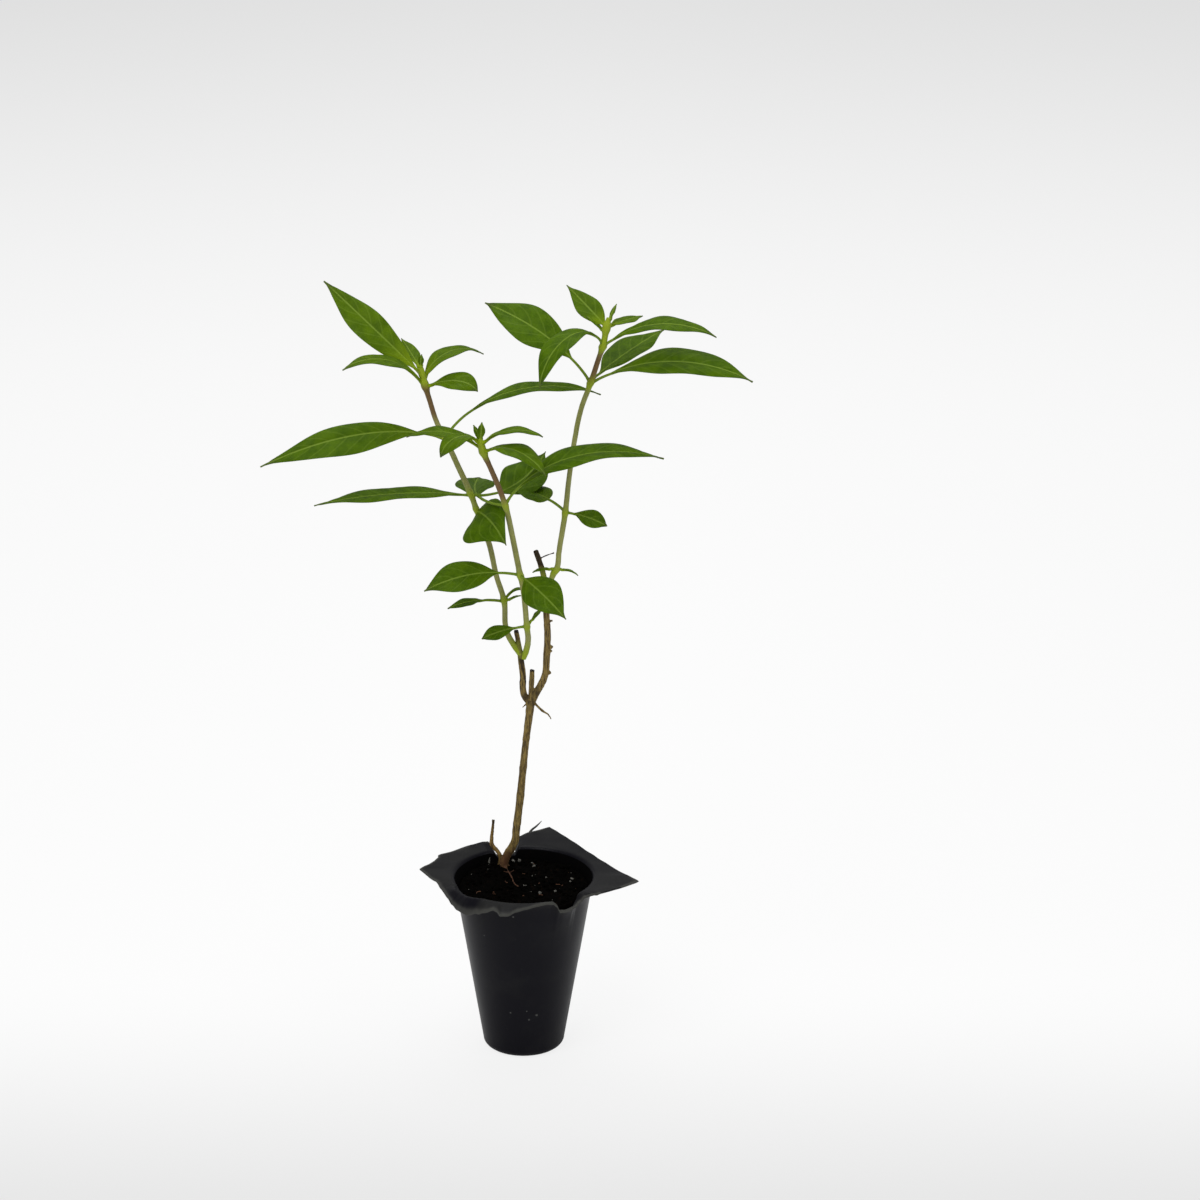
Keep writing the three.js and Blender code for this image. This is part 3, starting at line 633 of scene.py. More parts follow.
def plastic_material(settings):
    """Black satin plastic: on the flange a film that is partly dust and partly painted sheen, left off the
    crushed fold as painted shade; scuffed on the wall, and paler on torn edges as a painted highlight.
    """
    material, board, shader = new_material(
        "black_pot_plastic", Roughness=0.4, Specular_IOR_Level=0.11, Metallic=0.0)
    dusty = board.span(board.noise(60, 5, 0.6), 0.48, 0.78)
    speck = board.span(board.noise(900, 2, 0.5), 0.70, 0.80)
    torn = board.attribute("torn_edge_highlight")
    flange = board.attribute("flange")
    streaky = board.span(board.noise(32, 4, 0.6, (0.35, 1.6, 1)), 0.3, 0.7, 0.03, 0.26)
    # Film on the flange: partly dust, partly painted sheen where the flange faces the light above, with the
    # crushed fold left black as painted shade
    dust_and_sheen_film = board.math("MAXIMUM", board.times(dusty, 0.08), board.times(flange, streaky))
    base = board.mix(dust_and_sheen_film, colour(settings.plastic), colour(settings.dust_and_sheen))
    specked = board.mix(board.times(speck, 0.2), base, (0.05, 0.05, 0.048, 1))
    for x, z, size in SCUFFS:
        away = math.sqrt(wall_radius(z) ** 2 - x * x)
        spot = board.add("ShaderNodeVectorMath", operation="DISTANCE")
        board.link(board.object_place(), spot.inputs[0])
        spot.inputs[1].default_value = (x * MM, -away * MM, z * MM)
        mark = board.minus(1.0, board.span(spot.outputs["Value"], size * 0.5 * MM, size * MM))
        specked = board.mix(board.times(mark, board.noise(1500)), specked, (0.13, 0.135, 0.125, 1))
    # Paler torn edges: a painted highlight
    edge_highlighted = board.mix(board.times(torn, 0.5), specked, (0.09, 0.09, 0.08, 1))
    rough = board.plus(board.times(dust_and_sheen_film, 0.5), 0.34)
    board.link(rough, shader.inputs["Roughness"])
    ripples = board.plus(board.noise(45, 2), board.times(board.noise(1400, 2), 0.06))
    finish_shader(board, shader, edge_highlighted, ripples, 0.35, 0.0004)
    return material


def shaded_inner_plastic_material():
    """The pot's inner wall, near black and dull with faint brown patches: painted shade inside the pot."""
    black, brown = (0.0016, 0.0015, 0.0016, 1), (0.006, 0.0035, 0.002, 1)
    # Near black and nearly without reflection: painted shade on the inner wall
    material, board, shader = new_material("painted_shade_pot_plastic", Roughness=0.9, Specular_IOR_Level=0.02)
    brown_patches = board.span(board.noise(420, 5, 0.7), 0.5, 0.8)
    shade = board.mix(board.times(brown_patches, 0.5), black, brown)
    finish_shader(board, shader, shade, board.noise(900, 3), 0.4, 0.0003)
    return material


def soil_material(settings):
    """Damp, nearly black potting mix with brown fibres."""
    material, board, shader = new_material("potting_mix", Roughness=0.95, Specular_IOR_Level=0.02)
    fibre = board.span(board.noise(700, 4, 0.7, (1, 0.4, 1)), 0.56, 0.75)
    shade = board.mix(fibre, colour(settings.mix), (0.009, 0.0045, 0.0025, 1))
    finish_shader(board, shader, shade, board.noise(1500, 5, 0.7), 0.8, 0.0006)
    return material


def grain_material(name, light, dark, scale):
    """Dry pale or brown grains with pores."""
    material, board, shader = new_material(name, Roughness=0.85, Specular_IOR_Level=0.25)
    pores = board.noise(scale, 4, 0.65)
    shade = board.mix(board.span(pores, 0.35, 0.65), dark, light)
    finish_shader(board, shader, shade, pores, 0.6, 0.0003)
    return material


def bark_material(name, settings, tint=(1, 1, 1)):
    """Furrowed olive brown bark that darkens where the stored number 'wound' is high."""
    material, board, shader = new_material(name, Roughness=0.78, Specular_IOR_Level=0.25)
    furrows = board.noise(1500, 5, 0.65, (1, 1, 0.16))
    patches = board.noise(190, 3, 0.6, (1, 1, 0.6))
    light = [part * share for part, share in zip(settings.bark_light, tint)]
    dark = [part * share for part, share in zip(settings.bark_dark, tint)]
    shade = board.mix(board.span(furrows, 0.34, 0.6), colour(dark), colour(light))
    patched = board.mix(board.span(patches, 0.54, 0.7, 0, 0.75), shade, colour(dark))
    lenticels = board.span(board.noise(1100, 2, 0.5, (1, 1, 2.5)), 0.66, 0.74)
    dotted = board.mix(board.times(lenticels, 0.5), patched, (0.36, 0.3, 0.17, 1))
    greened = board.mix(board.attribute("fresh"), dotted, (0.2, 0.24, 0.03, 1))
    rooted = board.mix(board.attribute("foot"), greened, (0.1, 0.038, 0.016, 1))
    wounded = board.mix(board.attribute("wound"), rooted, colour(settings.wound))
    finish_shader(board, shader, wounded, furrows, 0.7, 0.0005)
    return material


def shoot_material(settings):
    """Green stem, yellower at its nodes and reddish brown where the stored number 'blush' is high."""
    material, board, shader = new_material(
        "green_shoot", Roughness=0.5, Specular_IOR_Level=0.2, Sheen_Weight=0.06, Sheen_Roughness=0.5)
    dark = [part * 0.72 for part in settings.shoot]
    mottled = board.group(
        mottling_group(), Dark=colour(dark), Light=colour(settings.shoot), Contrast=1.0)
    streaks = board.span(board.noise(1300, 3, 0.6, (1, 1, 0.08)), 0.4, 0.7)
    streak_share = board.times(streaks, 0.3)
    streaked = board.mix(streak_share, mottled.outputs["Color"], (0.38, 0.38, 0.18, 1))
    noded = board.mix(board.attribute("node_tint"), streaked, (0.27, 0.35, 0.012, 1))
    blushed = board.mix(board.attribute("blush"), noded, colour(settings.blush))
    finish_shader(board, shader, blushed, mottled.outputs["Grain"], 0.25, 0.0003)
    return material


def leaf_material(name, settings, is_young):
    """The upper face: mottled green, a light midrib and faint arching side veins."""
    material, board, shader = new_material(name, Roughness=0.4, Specular_IOR_Level=0.05)
    share = 0.1 if is_young else 0.0
    dark = [a + (b - a) * share * 0.6 for a, b in zip(settings.leaf_dark, settings.young)]
    light = [a + (b - a) * share for a, b in zip(settings.leaf_light, settings.young)]
    mottled = board.group(mottling_group(), Dark=colour(dark), Light=colour(light), Contrast=0.9)
    veins = board.group(vein_group(), Rib_Half_Width=0.00034, Vein_Share=0.09)
    vein_share = board.times(veins.outputs["Vein"], 0.2)
    lined = board.mix(vein_share, mottled.outputs["Color"], colour(settings.rib))
    ribbed = board.mix(board.times(veins.outputs["Rib"], 0.85), lined, colour(settings.rib))
    aged = board.mix(board.attribute("youth"), ribbed, colour(settings.young))
    tipped = board.mix(board.times(board.attribute("tip"), 0.55), aged, (0.05, 0.05, 0.03, 1))
    relief = board.plus(board.times(veins.outputs["Vein"], -0.5), mottled.outputs["Grain"])
    grooved = board.minus(relief, veins.outputs["Rib"])
    finish_shader(board, shader, tipped, grooved, 0.35, 0.0003)
    return material


def underside_material(name, settings):
    """The lower face: paler, greyer and duller, with raised veins."""
    material, board, shader = new_material(name, Roughness=0.6, Specular_IOR_Level=0.07)
    dark = [part * 0.75 for part in settings.underside]
    mottled = board.group(
        mottling_group(), Dark=colour(dark), Light=colour(settings.underside), Contrast=1.0)
    veins = board.group(vein_group(), Rib_Half_Width=0.0004, Vein_Share=0.1)
    rib_share = board.times(veins.outputs["Rib"], 0.7)
    ribbed = board.mix(rib_share, mottled.outputs["Color"], colour(settings.rib))
    lined = board.mix(board.times(veins.outputs["Vein"], 0.3), ribbed, colour(settings.rib))
    relief = board.plus(veins.outputs["Vein"], mottled.outputs["Grain"])
    finish_shader(board, shader, lined, relief, 0.3, 0.0003)
    return material


# Pot


def tear_at(degrees):
    """The tear's reach, dip and hang at a turn, between the listed ones."""
    turn = degrees + 360 if degrees < TEARS[0][0] else degrees
    for low, high in zip(TEARS, TEARS[1:]):
        if turn <= high[0]:
            share = (turn - low[0]) / (high[0] - low[0])
            smooth_share = ease(0, 1, share)
            reach = low[1] + (high[1] - low[1]) * share
            dip = low[2] + (high[2] - low[2]) * smooth_share
            hang = low[3] + (high[3] - low[3]) * smooth_share
            return reach, dip, hang
    return TEARS[0][1:]


def flange_reach(degrees):
    """How far the flange reaches at a turn: its square outline, or the tear where that is nearer."""
    quarter = (degrees - FLANGE_CORNER_TURN + 45 + 720) % 90 - 45
    square = FLANGE_SIDE / 2 / math.cos(math.radians(45 - abs(quarter)))
    torn = tear_at(degrees)[0]
    if torn < square:
        turn = math.radians(degrees)
        ragged = noise.noise(Vector((math.cos(turn) * 9, math.sin(turn) * 9, 0.3)))
        return torn + 0.55 * ragged
    return square


def wall_radius(height):
    """Outer radius of the pot's wall at a height, in millimetres."""
    widening = WALL_TOP_RADIUS - WALL_FOOT_RADIUS
    return WALL_FOOT_RADIUS + widening * (height - BASE_CORNER_RADIUS) / WALL_RISE


def pot_profile(sheet):
    """The shell's outline in radius and height, from the middle of its underside to that of its floor."""
    wall_top = RIM_HEIGHT - RIM_FILLET
    under = RIM_HEIGHT - sheet
    points = [(0, 0), (WALL_FOOT_RADIUS * 0.4, 0)]
    for step in range(7):
        angle = step / 6 * math.pi / 2
        points.append((
            WALL_FOOT_RADIUS - BASE_CORNER_RADIUS * (1 - math.sin(angle)),
            BASE_CORNER_RADIUS * (1 - math.cos(angle))))
    points += [(wall_radius(height), height) for height in (8, 14, 24, 36, 48, 56, 60, 63)]
    points.append((wall_radius(wall_top), wall_top - sheet))
    points += [(MOUTH_RADIUS + sheet + 0.35, under - 1), (MOUTH_RADIUS + sheet + 0.6, under - 0.4)]
    outer = [(FLANGE_START + (FLANGE_SIDE / 2 - FLANGE_START) * step / 8, under) for step in range(9)]
    points += outer
    points += [(FLANGE_SIDE / 2 + 0.12, RIM_HEIGHT - sheet / 2)]
    points += [(radius, RIM_HEIGHT) for radius, _ in reversed(outer)]
    points += [(MOUTH_RADIUS + 0.6, RIM_HEIGHT - 0.4), (MOUTH_RADIUS + 0.2, RIM_HEIGHT - 1.1)]
    points.append((wall_radius(wall_top) - sheet, wall_top - sheet))
    points += [(wall_radius(height) - sheet, height) for height in (63, 60, 56, 48, 36, 24, 14, 6)]
    points += [(WALL_FOOT_RADIUS - sheet - 1.2, sheet + 1.2), (WALL_FOOT_RADIUS - BASE_CORNER_RADIUS, sheet)]
    points += [(WALL_FOOT_RADIUS * 0.4, sheet), (0, sheet)]
    return points


def crushed_at(degrees):
    """1 where the flange is crushed, at the front left, and 0 well away from it."""
    return ease(200, 207, degrees) * ease(240, 232, degrees)


def bent_flange_point(radius, degrees, height):
    """Radius and height of a point near the rim, moved by the flange's outline, tears and bends."""
    reach, dip, hang = tear_at(degrees)
    share = max(radius - FLANGE_START, 0) / (FLANGE_SIDE / 2 - FLANGE_START)
    if share > 0:
        radius = FLANGE_START + (flange_reach(degrees) - FLANGE_START) * share
    turn = math.radians(degrees)
    crumple = 0.28 * noise.noise(Vector((radius * 0.22, math.cos(turn) * 5, math.sin(turn) * 5)))
    fold = noise.noise(Vector((radius * 0.3, turn * 9, 0.5)))
    crumple += 1.1 * crushed_at(degrees) * fold
    rounded = share * share * (1.6 - 0.6 * share) if hang > 0 else share
    near_rim = ease(BEND_HEIGHT, RIM_HEIGHT - 2, height)
    return radius, height - dip * near_rim - hang * rounded + crumple * share


def drill_drain_holes(pot, radius):
    """Cut the drain holes through the pot's floor."""
    cutters = []
    for step in range(DRAIN_HOLES):
        angle = math.radians(45 + 360 / DRAIN_HOLES * step)
        across, away = DRAIN_RING_RADIUS * math.cos(angle), DRAIN_RING_RADIUS * math.sin(angle)
        deselect_all()
        bpy.ops.mesh.primitive_cylinder_add(
            vertices=32, radius=radius, depth=0.004, location=(across, away, 0.0005))
        cutters.append(bpy.context.object)
    cutter = joined(cutters, "drain_cutter")
    make_active(cutter)
    bpy.ops.object.transform_apply(location=True, rotation=True, scale=True)
    apply_modifier(pot, "BOOLEAN", operation="DIFFERENCE", object=cutter, solver="EXACT")
    bpy.data.objects.remove(cutter)


def paint_inner_wall_shade(pot):
    """Give the faces of the inner wall the pot's second material, the painted shade inside the pot."""
    for face in pot.data.polygons:
        inward = face.normal.x * face.center.x + face.normal.y * face.center.y < 0
        is_inner = inward and 0.002 < face.center.z < 0.0688
        if is_inner and math.hypot(face.center.x, face.center.y) < MOUTH_RADIUS * MM:
            face.material_index = 1


class CUPHEA_OT_pot(bpy.types.Operator):
    """Build the thin pot with its torn square flange and drain holes"""

    bl_idname = "cuphea.pot"
    bl_label = "Pot"

    def execute(self, context):
        settings = context.scene.cuphea_pot
        sheet = settings.sheet / MM
        profile = pot_profile(sheet)
        turns = 360
        last = len(profile) - 1

        def place(u, v):
            degrees = u * 360
            radius, height = profile[round(v * last)]
            if height > BEND_HEIGHT:
                radius, height = bent_flange_point(radius, degrees, height)
            turn = math.radians(degrees)
            lean = -FOOT_LEAN * (1 - height / RIM_HEIGHT)
            wobble = 1 + 0.004 * math.sin(3 * turn + height * 0.05) * ease(5, 60, height)
            across = radius * wobble * math.cos(turn) + lean
            return Vector((across, radius * wobble * math.sin(turn), height)) * MM

        pot = laid_grid("pot_shell", turns, last, place)
        merged(pot, 0.000004)
        drill_drain_holes(pot, settings.drain_radius)
        sliver = stem_tube("sliver", SLIVER, 3, 4)
        pot = joined([pot, sliver], "pot_shell")

        # Where the torn edges take the painted highlight
        def torn_edge_highlight_share(place, index):
            degrees = math.degrees(math.atan2(place.y, place.x)) % 360
            radius = math.hypot(place.x, place.y) / MM
            if place.z < 0.06:
                return 0.0
            return ease(1.1, 0.1, flange_reach(degrees) - radius) if tear_at(degrees)[0] < 90 else 0.0

        # The flange film is partly dust and partly painted sheen on the up-facing flange
        def flange_dust_and_sheen_share(place, index):
            degrees = math.degrees(math.atan2(place.y, place.x)) % 360
            spread = ease(26.3, 28, math.hypot(place.x, place.y) / MM) if place.z > 0.06 else 0.0
            # The crushed fold is kept black: painted shade in the fold
            return spread * (1 - 0.95 * crushed_at(degrees))

        set_attribute(pot, "torn_edge_highlight", torn_edge_highlight_share)
        set_attribute(pot, "flange", flange_dust_and_sheen_share)
        wear(pot, plastic_material(settings), shaded_inner_plastic_material())
        # The inner wall takes the second material: painted shade inside the pot
        paint_inner_wall_shade(pot)
        smooth(pot, 40)
        claim(pot, "plastic", "pot")
        return {"FINISHED"}


# Soil


def soil_height(x, y):
    """Height of the soil's top, in millimetres: a swell, a mound round the stem, and crumbs."""
    from_edge = 1 - min(math.hypot(x, y) / MOUTH_RADIUS, 1) ** 2
    from_stem = math.hypot(x - TRUNK[1][0], y - TRUNK[1][1]) / MOUND_RADIUS
    coarse = noise.noise(Vector((x * 0.35, y * 0.35, 1.7))) * 0.9
    fine = noise.noise(Vector((x * 1.3, y * 1.3, 4.2))) * 0.55
    swell = SOIL_SWELL * min(from_edge * 4, 1) + MOUND_HEIGHT * math.exp(-from_stem * from_stem)
    return SOIL_EDGE_HEIGHT + swell + (coarse + fine) * min(from_edge * 6, 1)


def lump(name, radius, place, draw, detail):
    """One uneven crumb: a low ball, knocked out of round and set at its place."""
    deselect_all()
    bpy.ops.mesh.primitive_ico_sphere_add(subdivisions=detail, radius=radius, location=(0, 0, 0))
    crumb = bpy.context.object
    crumb.name = name
    offset = Vector((draw.uniform(0, 90), draw.uniform(0, 90), draw.uniform(0, 90)))
    stretch = Vector((draw.uniform(0.7, 1.3), draw.uniform(0.7, 1.3), draw.uniform(0.55, 1.0)))
    turn = Matrix.Rotation(draw.uniform(0, 6.28), 3, "Z") @ Matrix.Rotation(draw.uniform(-0.7, 0.7), 3, "X")
    for vertex in crumb.data.vertices:
        swell = 1 + 0.55 * noise.noise(vertex.co / radius * 1.3 + offset)
        knocked = Vector((vertex.co.x * stretch.x, vertex.co.y * stretch.y, vertex.co.z * stretch.z)) * swell
        vertex.co = turn @ knocked + place
    return crumb


def scattered(draw, reach):
    """A random place on the soil within reach of its middle."""
    turn = draw.uniform(0, 2 * math.pi)
    radius = reach * math.sqrt(draw.random())
    return radius * math.cos(turn), radius * math.sin(turn)


def on_soil(x, y, raised):
    """The point that stands raised millimetres above the soil."""
    return Vector((x, y, soil_height(x, y) + raised)) * MM


def soil_body(inset):
    """The soil itself, inset millimetres from the pot's outer wall."""
    wall = [(0, 1.1), (WALL_FOOT_RADIUS - 4.6, 1.1), (WALL_FOOT_RADIUS - 2.2, 3.4)]
    wall += [(wall_radius(height) - inset, height) for height in (12, 25, 38, 51)]
    top_radius = wall_radius(SOIL_EDGE_HEIGHT) - inset
    rings = 56
    profile = list(wall)
    profile += [(top_radius * (rings - step) / rings, SOIL_EDGE_HEIGHT) for step in range(rings + 1)]
    last = len(profile) - 1

    def place(u, v):
        step = round(v * last)
        radius, height = profile[step]
        turn = u * 2 * math.pi
        x, y = radius * math.cos(turn), radius * math.sin(turn)
        if step > len(wall):
            height = soil_height(x, y)
        return Vector((x, y, height)) * MM

    return merged(laid_grid("potting_soil", 200, last, place), 0.000004)


def loose_crumbs(draw, count):
    """Crumbs scattered over the soil."""
    crumbs = []
    for _ in range(count):
        x, y = scattered(draw, CRUMB_REACH)
        size = draw.uniform(0.25, 0.95)
        crumbs.append(lump("crumb", size * MM, on_soil(x, y, size * 0.2), draw, 2))
    return joined(crumbs, "soil_crumbs")


def perlite_grains(draw):
    """The white grains, a few tiny ones and the pale shard."""
    grains = []
    for x, y, size in PERLITE:
        grains.append(lump("grain", size * MM, on_soil(x, y, size * 0.45), draw, 3))
    for _ in range(TINY_GRAINS):
        x, y = scattered(draw, GRAIN_REACH)
        size = draw.uniform(0.13, 0.26)
        grains.append(lump("grain", size * MM, on_soil(x, y, size * 0.6), draw, 2))
    grains.append(stem_tube("shard", SHARD, 1, 3))
    return joined(grains, "perlite_grains")


def root_fibres(draw):
    """The fine root that starts beside the stem's foot, and short curled fibres."""
    route = [(x, y, soil_height(x, y) + 0.35, size) for x, y, size in FINE_ROOT]
    fibres = [stem_tube("fine_root", route, 3, 5)]
    for _ in range(FIBRES):
        x, y = scattered(draw, FIBRE_REACH)
        way = draw.uniform(0, 2 * math.pi)
        length = draw.choice((0.7, 1.1, 1.6, 2.4, 4.2))
        points = []
        curl = draw.uniform(-1.6, 1.6)
        for share in (0, 0.5, 1):
            px = x + math.cos(way + curl * share) * length * share
            py = y + math.sin(way + curl * share) * length * share
            points.append((px, py, soil_height(px, py) + 0.25, draw.uniform(0.1, 0.2)))
        fibres.append(stem_tube("fibre", points, 1, 3))
    return joined(fibres, "soil_fibres")


class CUPHEA_OT_soil(bpy.types.Operator):
    """Fill the pot with potting mix and scatter crumbs, perlite and a fine root on it"""

    bl_idname = "cuphea.soil"
    bl_label = "Soil"

    def execute(self, context):
        settings = context.scene.cuphea_soil
        draw = random.Random(settings.seed)
        soil = soil_body(context.scene.cuphea_pot.sheet / MM + SEAT_GAP)
        wear(soil, soil_material(settings))
        smooth(soil, 60)
        claim(soil, "soil", "soil")

        loose = loose_crumbs(draw, settings.crumbs)
        wear(loose, soil_material(settings))
        smooth(loose, 40)
        claim(loose, "soil")

        perlite = perlite_grains(draw)
        white = colour(settings.perlite)
        grey = colour([part * 0.45 for part in settings.perlite])
        wear(perlite, grain_material("perlite", white, grey, 1600))
        smooth(perlite, 60)
        claim(perlite, "soil")

        roots = root_fibres(draw)
        wear(roots, grain_material("root_fibre", (0.11, 0.05, 0.025, 1), (0.035, 0.014, 0.008, 1), 900))
        smooth(roots, 70)
        claim(roots, "soil")
        return {"FINISHED"}


# Wood


def fresh_at(place, index):
    """How green the wood is: where the shoots leave it."""
    x, z = place.x / MM, place.z / MM
    stub = ease(183.5, 185, z) * ease(190.5, 189, z) if x > 2 else 0
    left = ease(151.5, 154.5, z) * ease(161, 159, z) if x < 0.6 else 0
    return max(stub * 0.85, left * 0.6)


def wound_at(place, index):
    """How dark the wood is: 1 at cut ends, and in streaks on the left branch and in the forks."""
    x, z = place.x / MM, place.z / MM
    top_cut = ease(189, 191, z) if z > 180 and x > 0 else 0
    left_cut = ease(162.5, 163.6, z) if x < 1 and z < 170 else 0
    middle_cut = ease(147.6, 148.3, z) if 2 < x < 6 and z < 152 else 0
    streak = noise.noise(Vector((x * 1.2, place.y / MM * 1.2, z * 0.28))) * 0.5 + 0.5
    left_streak = ease(0.45, 0.62, streak) * 0.85 if x < 2 and 137 < z < 153 else 0
    right_fork = 0.8 * math.exp(-((x - 5.4) ** 2 + (z - 139.5) ** 2) / 3.2)
    left_fork = 0.8 * math.exp(-((x - 1) ** 2 + (z - 137.6) ** 2) / 2)
    foot = ease(74, 66, z) * 0.35
    mottle = 0.25 * ease(0.5, 0.75, streak)
    cuts = max(top_cut * (0.75 + 0.25 * streak), left_cut, middle_cut)
    return min(max(cuts, left_streak, right_fork + left_fork, foot, mottle), 1)


class CUPHEA_OT_wood(bpy.types.Operator):
    """Build the woody stem with its branches, stubs and knobs, and the dead twig beside it"""

    bl_idname = "cuphea.wood"
    bl_label = "Woody Stem"

    def execute(self, context):
        settings = context.scene.cuphea_wood
        routes = [TRUNK, LEFT_BRANCH, MIDDLE_STUB, RIGHT_BRANCH, *FORK_ROOTS, *SURFACE_ROOTS, CUT_END_TWIG]
        limbs = [stem_tube("limb", route, 5, 8) for route in routes]
        draw = random.Random(3)
        for x, y, z in KNOBS:
            limbs.append(lump("knob", KNOB_RADIUS, Vector((x, y, z)) * MM, draw, 3))
        wood = joined(limbs, "woody_stem_bark")
        apply_modifier(wood, "REMESH", mode="VOXEL", voxel_size=BARK_VOXEL)
        apply_modifier(wood, "SMOOTH", factor=0.5, iterations=3)

        def bark_depth(place):
            x, y, z = place / MM
            ridge = noise.noise(Vector((x * 2.6, y * 2.6, z * 0.45))) * 0.09
            lumpy = noise.noise(Vector((x * 0.5, y * 0.5, z * 0.16))) * 0.1
            ring = 0.1 * math.exp(-((z % 11.5 - 5.5) / 0.8) ** 2) if z > 74 else 0
            return (ridge + lumpy + ring) * MM

        push_along_normals(wood, bark_depth)
        set_attribute(wood, "wound", wound_at)
        set_attribute(wood, "fresh", fresh_at)
        set_attribute(wood, "foot", lambda place, index: 0.8 * ease(78, 70, place.z / MM))
        wear(wood, bark_material("stem_bark", settings))
        smooth(wood, 60)
        claim(wood, "bark", "woody_stem")

        twig = stem_tube("dead_twig_stick", DEAD_TWIG, 5, 14)

        def twig_depth(place):
            return 0.12 * MM * noise.noise(place / MM * 1.4)

        push_along_normals(twig, twig_depth)
        set_attribute(twig, "wound", lambda place, index: ease(82.6, 83.6, place.z / MM) * 0.8)
        wear(twig, bark_material("twig_bark", settings, (0.95, 0.85, 0.8)))
        smooth(twig, 60)
        claim(twig, "dead_wood", "dead_twig")
        return {"FINISHED"}


# Leaves


def leaf_heading(leaf, share):
    """The way the midrib points at a share of its length, and the level way to its right."""
    bent = share ** leaf.get("bend", 1)
    turn = math.radians(leaf["turn"] + leaf.get("sway", 0) * bent)
    rise = math.radians(leaf["rise"] - leaf.get("droop", 0) * bent)
    along = Vector((math.cos(rise) * math.cos(turn), math.cos(rise) * math.sin(turn), math.sin(rise)))
    return along, Vector((math.sin(turn), -math.cos(turn), 0))


def midrib_frames(leaf, rows):
    """Place, side and face directions of the midrib at even steps from the stem to the tip."""
    length = leaf["petiole"] + leaf["blade"]
    place = Vector(leaf["at"])
    frames = []
    for row in range(rows + 1):
        share = row / rows
        if row:
            place = place + leaf_heading(leaf, share - 0.5 / rows)[0] * (length / rows)
        along, right = leaf_heading(leaf, share)
        up = right.cross(along)
        roll = math.radians(leaf.get("roll", 0) + leaf.get("twist", 0) * share)
        side = right * math.cos(roll) - up * math.sin(roll)
        face = up * math.cos(roll) + right * math.sin(roll)
        blade_share = (share * length - leaf["petiole"]) / leaf["blade"]
        frames.append((place.copy(), side, face, blade_share))
    return frames


def half_width(leaf, share):
    """Half the blade's width at a share of its length."""
    if share <= 0 or share >= 1:
        return 0
    belly = leaf.get("belly", 0.5)
    rising = (share / belly) ** (2.8 * belly * leaf.get("blunt", 1))
    falling = ((1 - share) / (1 - belly)) ** (2.8 * (1 - belly))
    return leaf["width"] / 2 * rising * falling


def build_leaf(name, leaf, thickness, seed, columns=14, rows=56):
    """One leaf: a blade laid along its midrib, given thickness, with the petiole and midrib under it."""
    frames = midrib_frames(leaf, rows)
    draw = random.Random(seed)
    wave_turn = (draw.uniform(0, 6.28), draw.uniform(0, 6.28))
    wave_depth = min(0.4, leaf["blade"] * 0.009)
    vein_pairs = max(4, round(leaf["blade"] / VEIN_SPACING))
    vein_slope = 1.5 * leaf["width"] / 2 / leaf["blade"]
    numbers = []

    def place(u, v):
        point, side, face, share = frames[round(v * rows)]
        lane = 2 * u - 1
        on_blade = min(max(share * 6, 0), 1)
        reach = math.hypot(half_width(leaf, share), 0.3 * (1 - max(share, 0)) + 0.05)
        out = lane * reach * (1 + math.copysign(1, lane) * leaf.get("skew", 0) * on_blade)
        phase = vein_pairs * (share - vein_slope * abs(lane) ** 1.25)
        fold = math.radians(BLADE_FOLD) * on_blade
        belly_lift = 0.3 * reach * abs(lane) * (1 - abs(lane)) * on_blade
        puckers = 0.1 * math.cos(2 * math.pi * phase) * 4 * abs(lane) * (1 - abs(lane)) * on_blade
        wave_angle = 2 * math.pi * 2.4 * share + wave_turn[lane > 0]
        wave = wave_depth * abs(lane) ** 3 * math.sin(wave_angle) * on_blade
        edge_curl = -0.09 * reach * abs(lane) ** 4 * on_blade
        lift = abs(out) * math.sin(fold) + belly_lift + puckers + wave + edge_curl
        numbers.append((abs(out) * MM, phase, share))
        return (point + side * out * math.cos(fold) + face * lift) * MM

    blade = laid_grid(name, columns, rows, place)
    youth = leaf.get("youth", 0)
    set_attribute(blade, "rib_distance", lambda place, index: numbers[index][0])
    set_attribute(blade, "vein_phase", lambda place, index: numbers[index][1])
    set_attribute(blade, "youth", lambda place, index: youth * ease(0.36, -0.05, numbers[index][2]))
    set_attribute(blade, "tip", lambda place, index: ease(0.86, 1, numbers[index][2]))
    apply_modifier(blade, "SOLIDIFY", thickness=thickness, offset=0, material_offset=1)
    route = []
    for point, _, face, share in frames[:: max(rows // 18, 1)]:
        radius = 0.55 - 0.42 * ease(-0.3, 1, share)
        radius += (0.22 + 0.3 * youth) * ease(1.6 + 3 * youth, 0, (point - frames[0][0]).length)
        centre = point - face * radius * 0.75 * ease(-0.05, 0.1, share)
        route.append((*centre, radius))
    petiole = stem_tube("petiole", route, 2, 2)
    set_attribute(petiole, "youth", lambda place, index: min(1, youth * 1.3))
    return joined([blade, petiole], name)


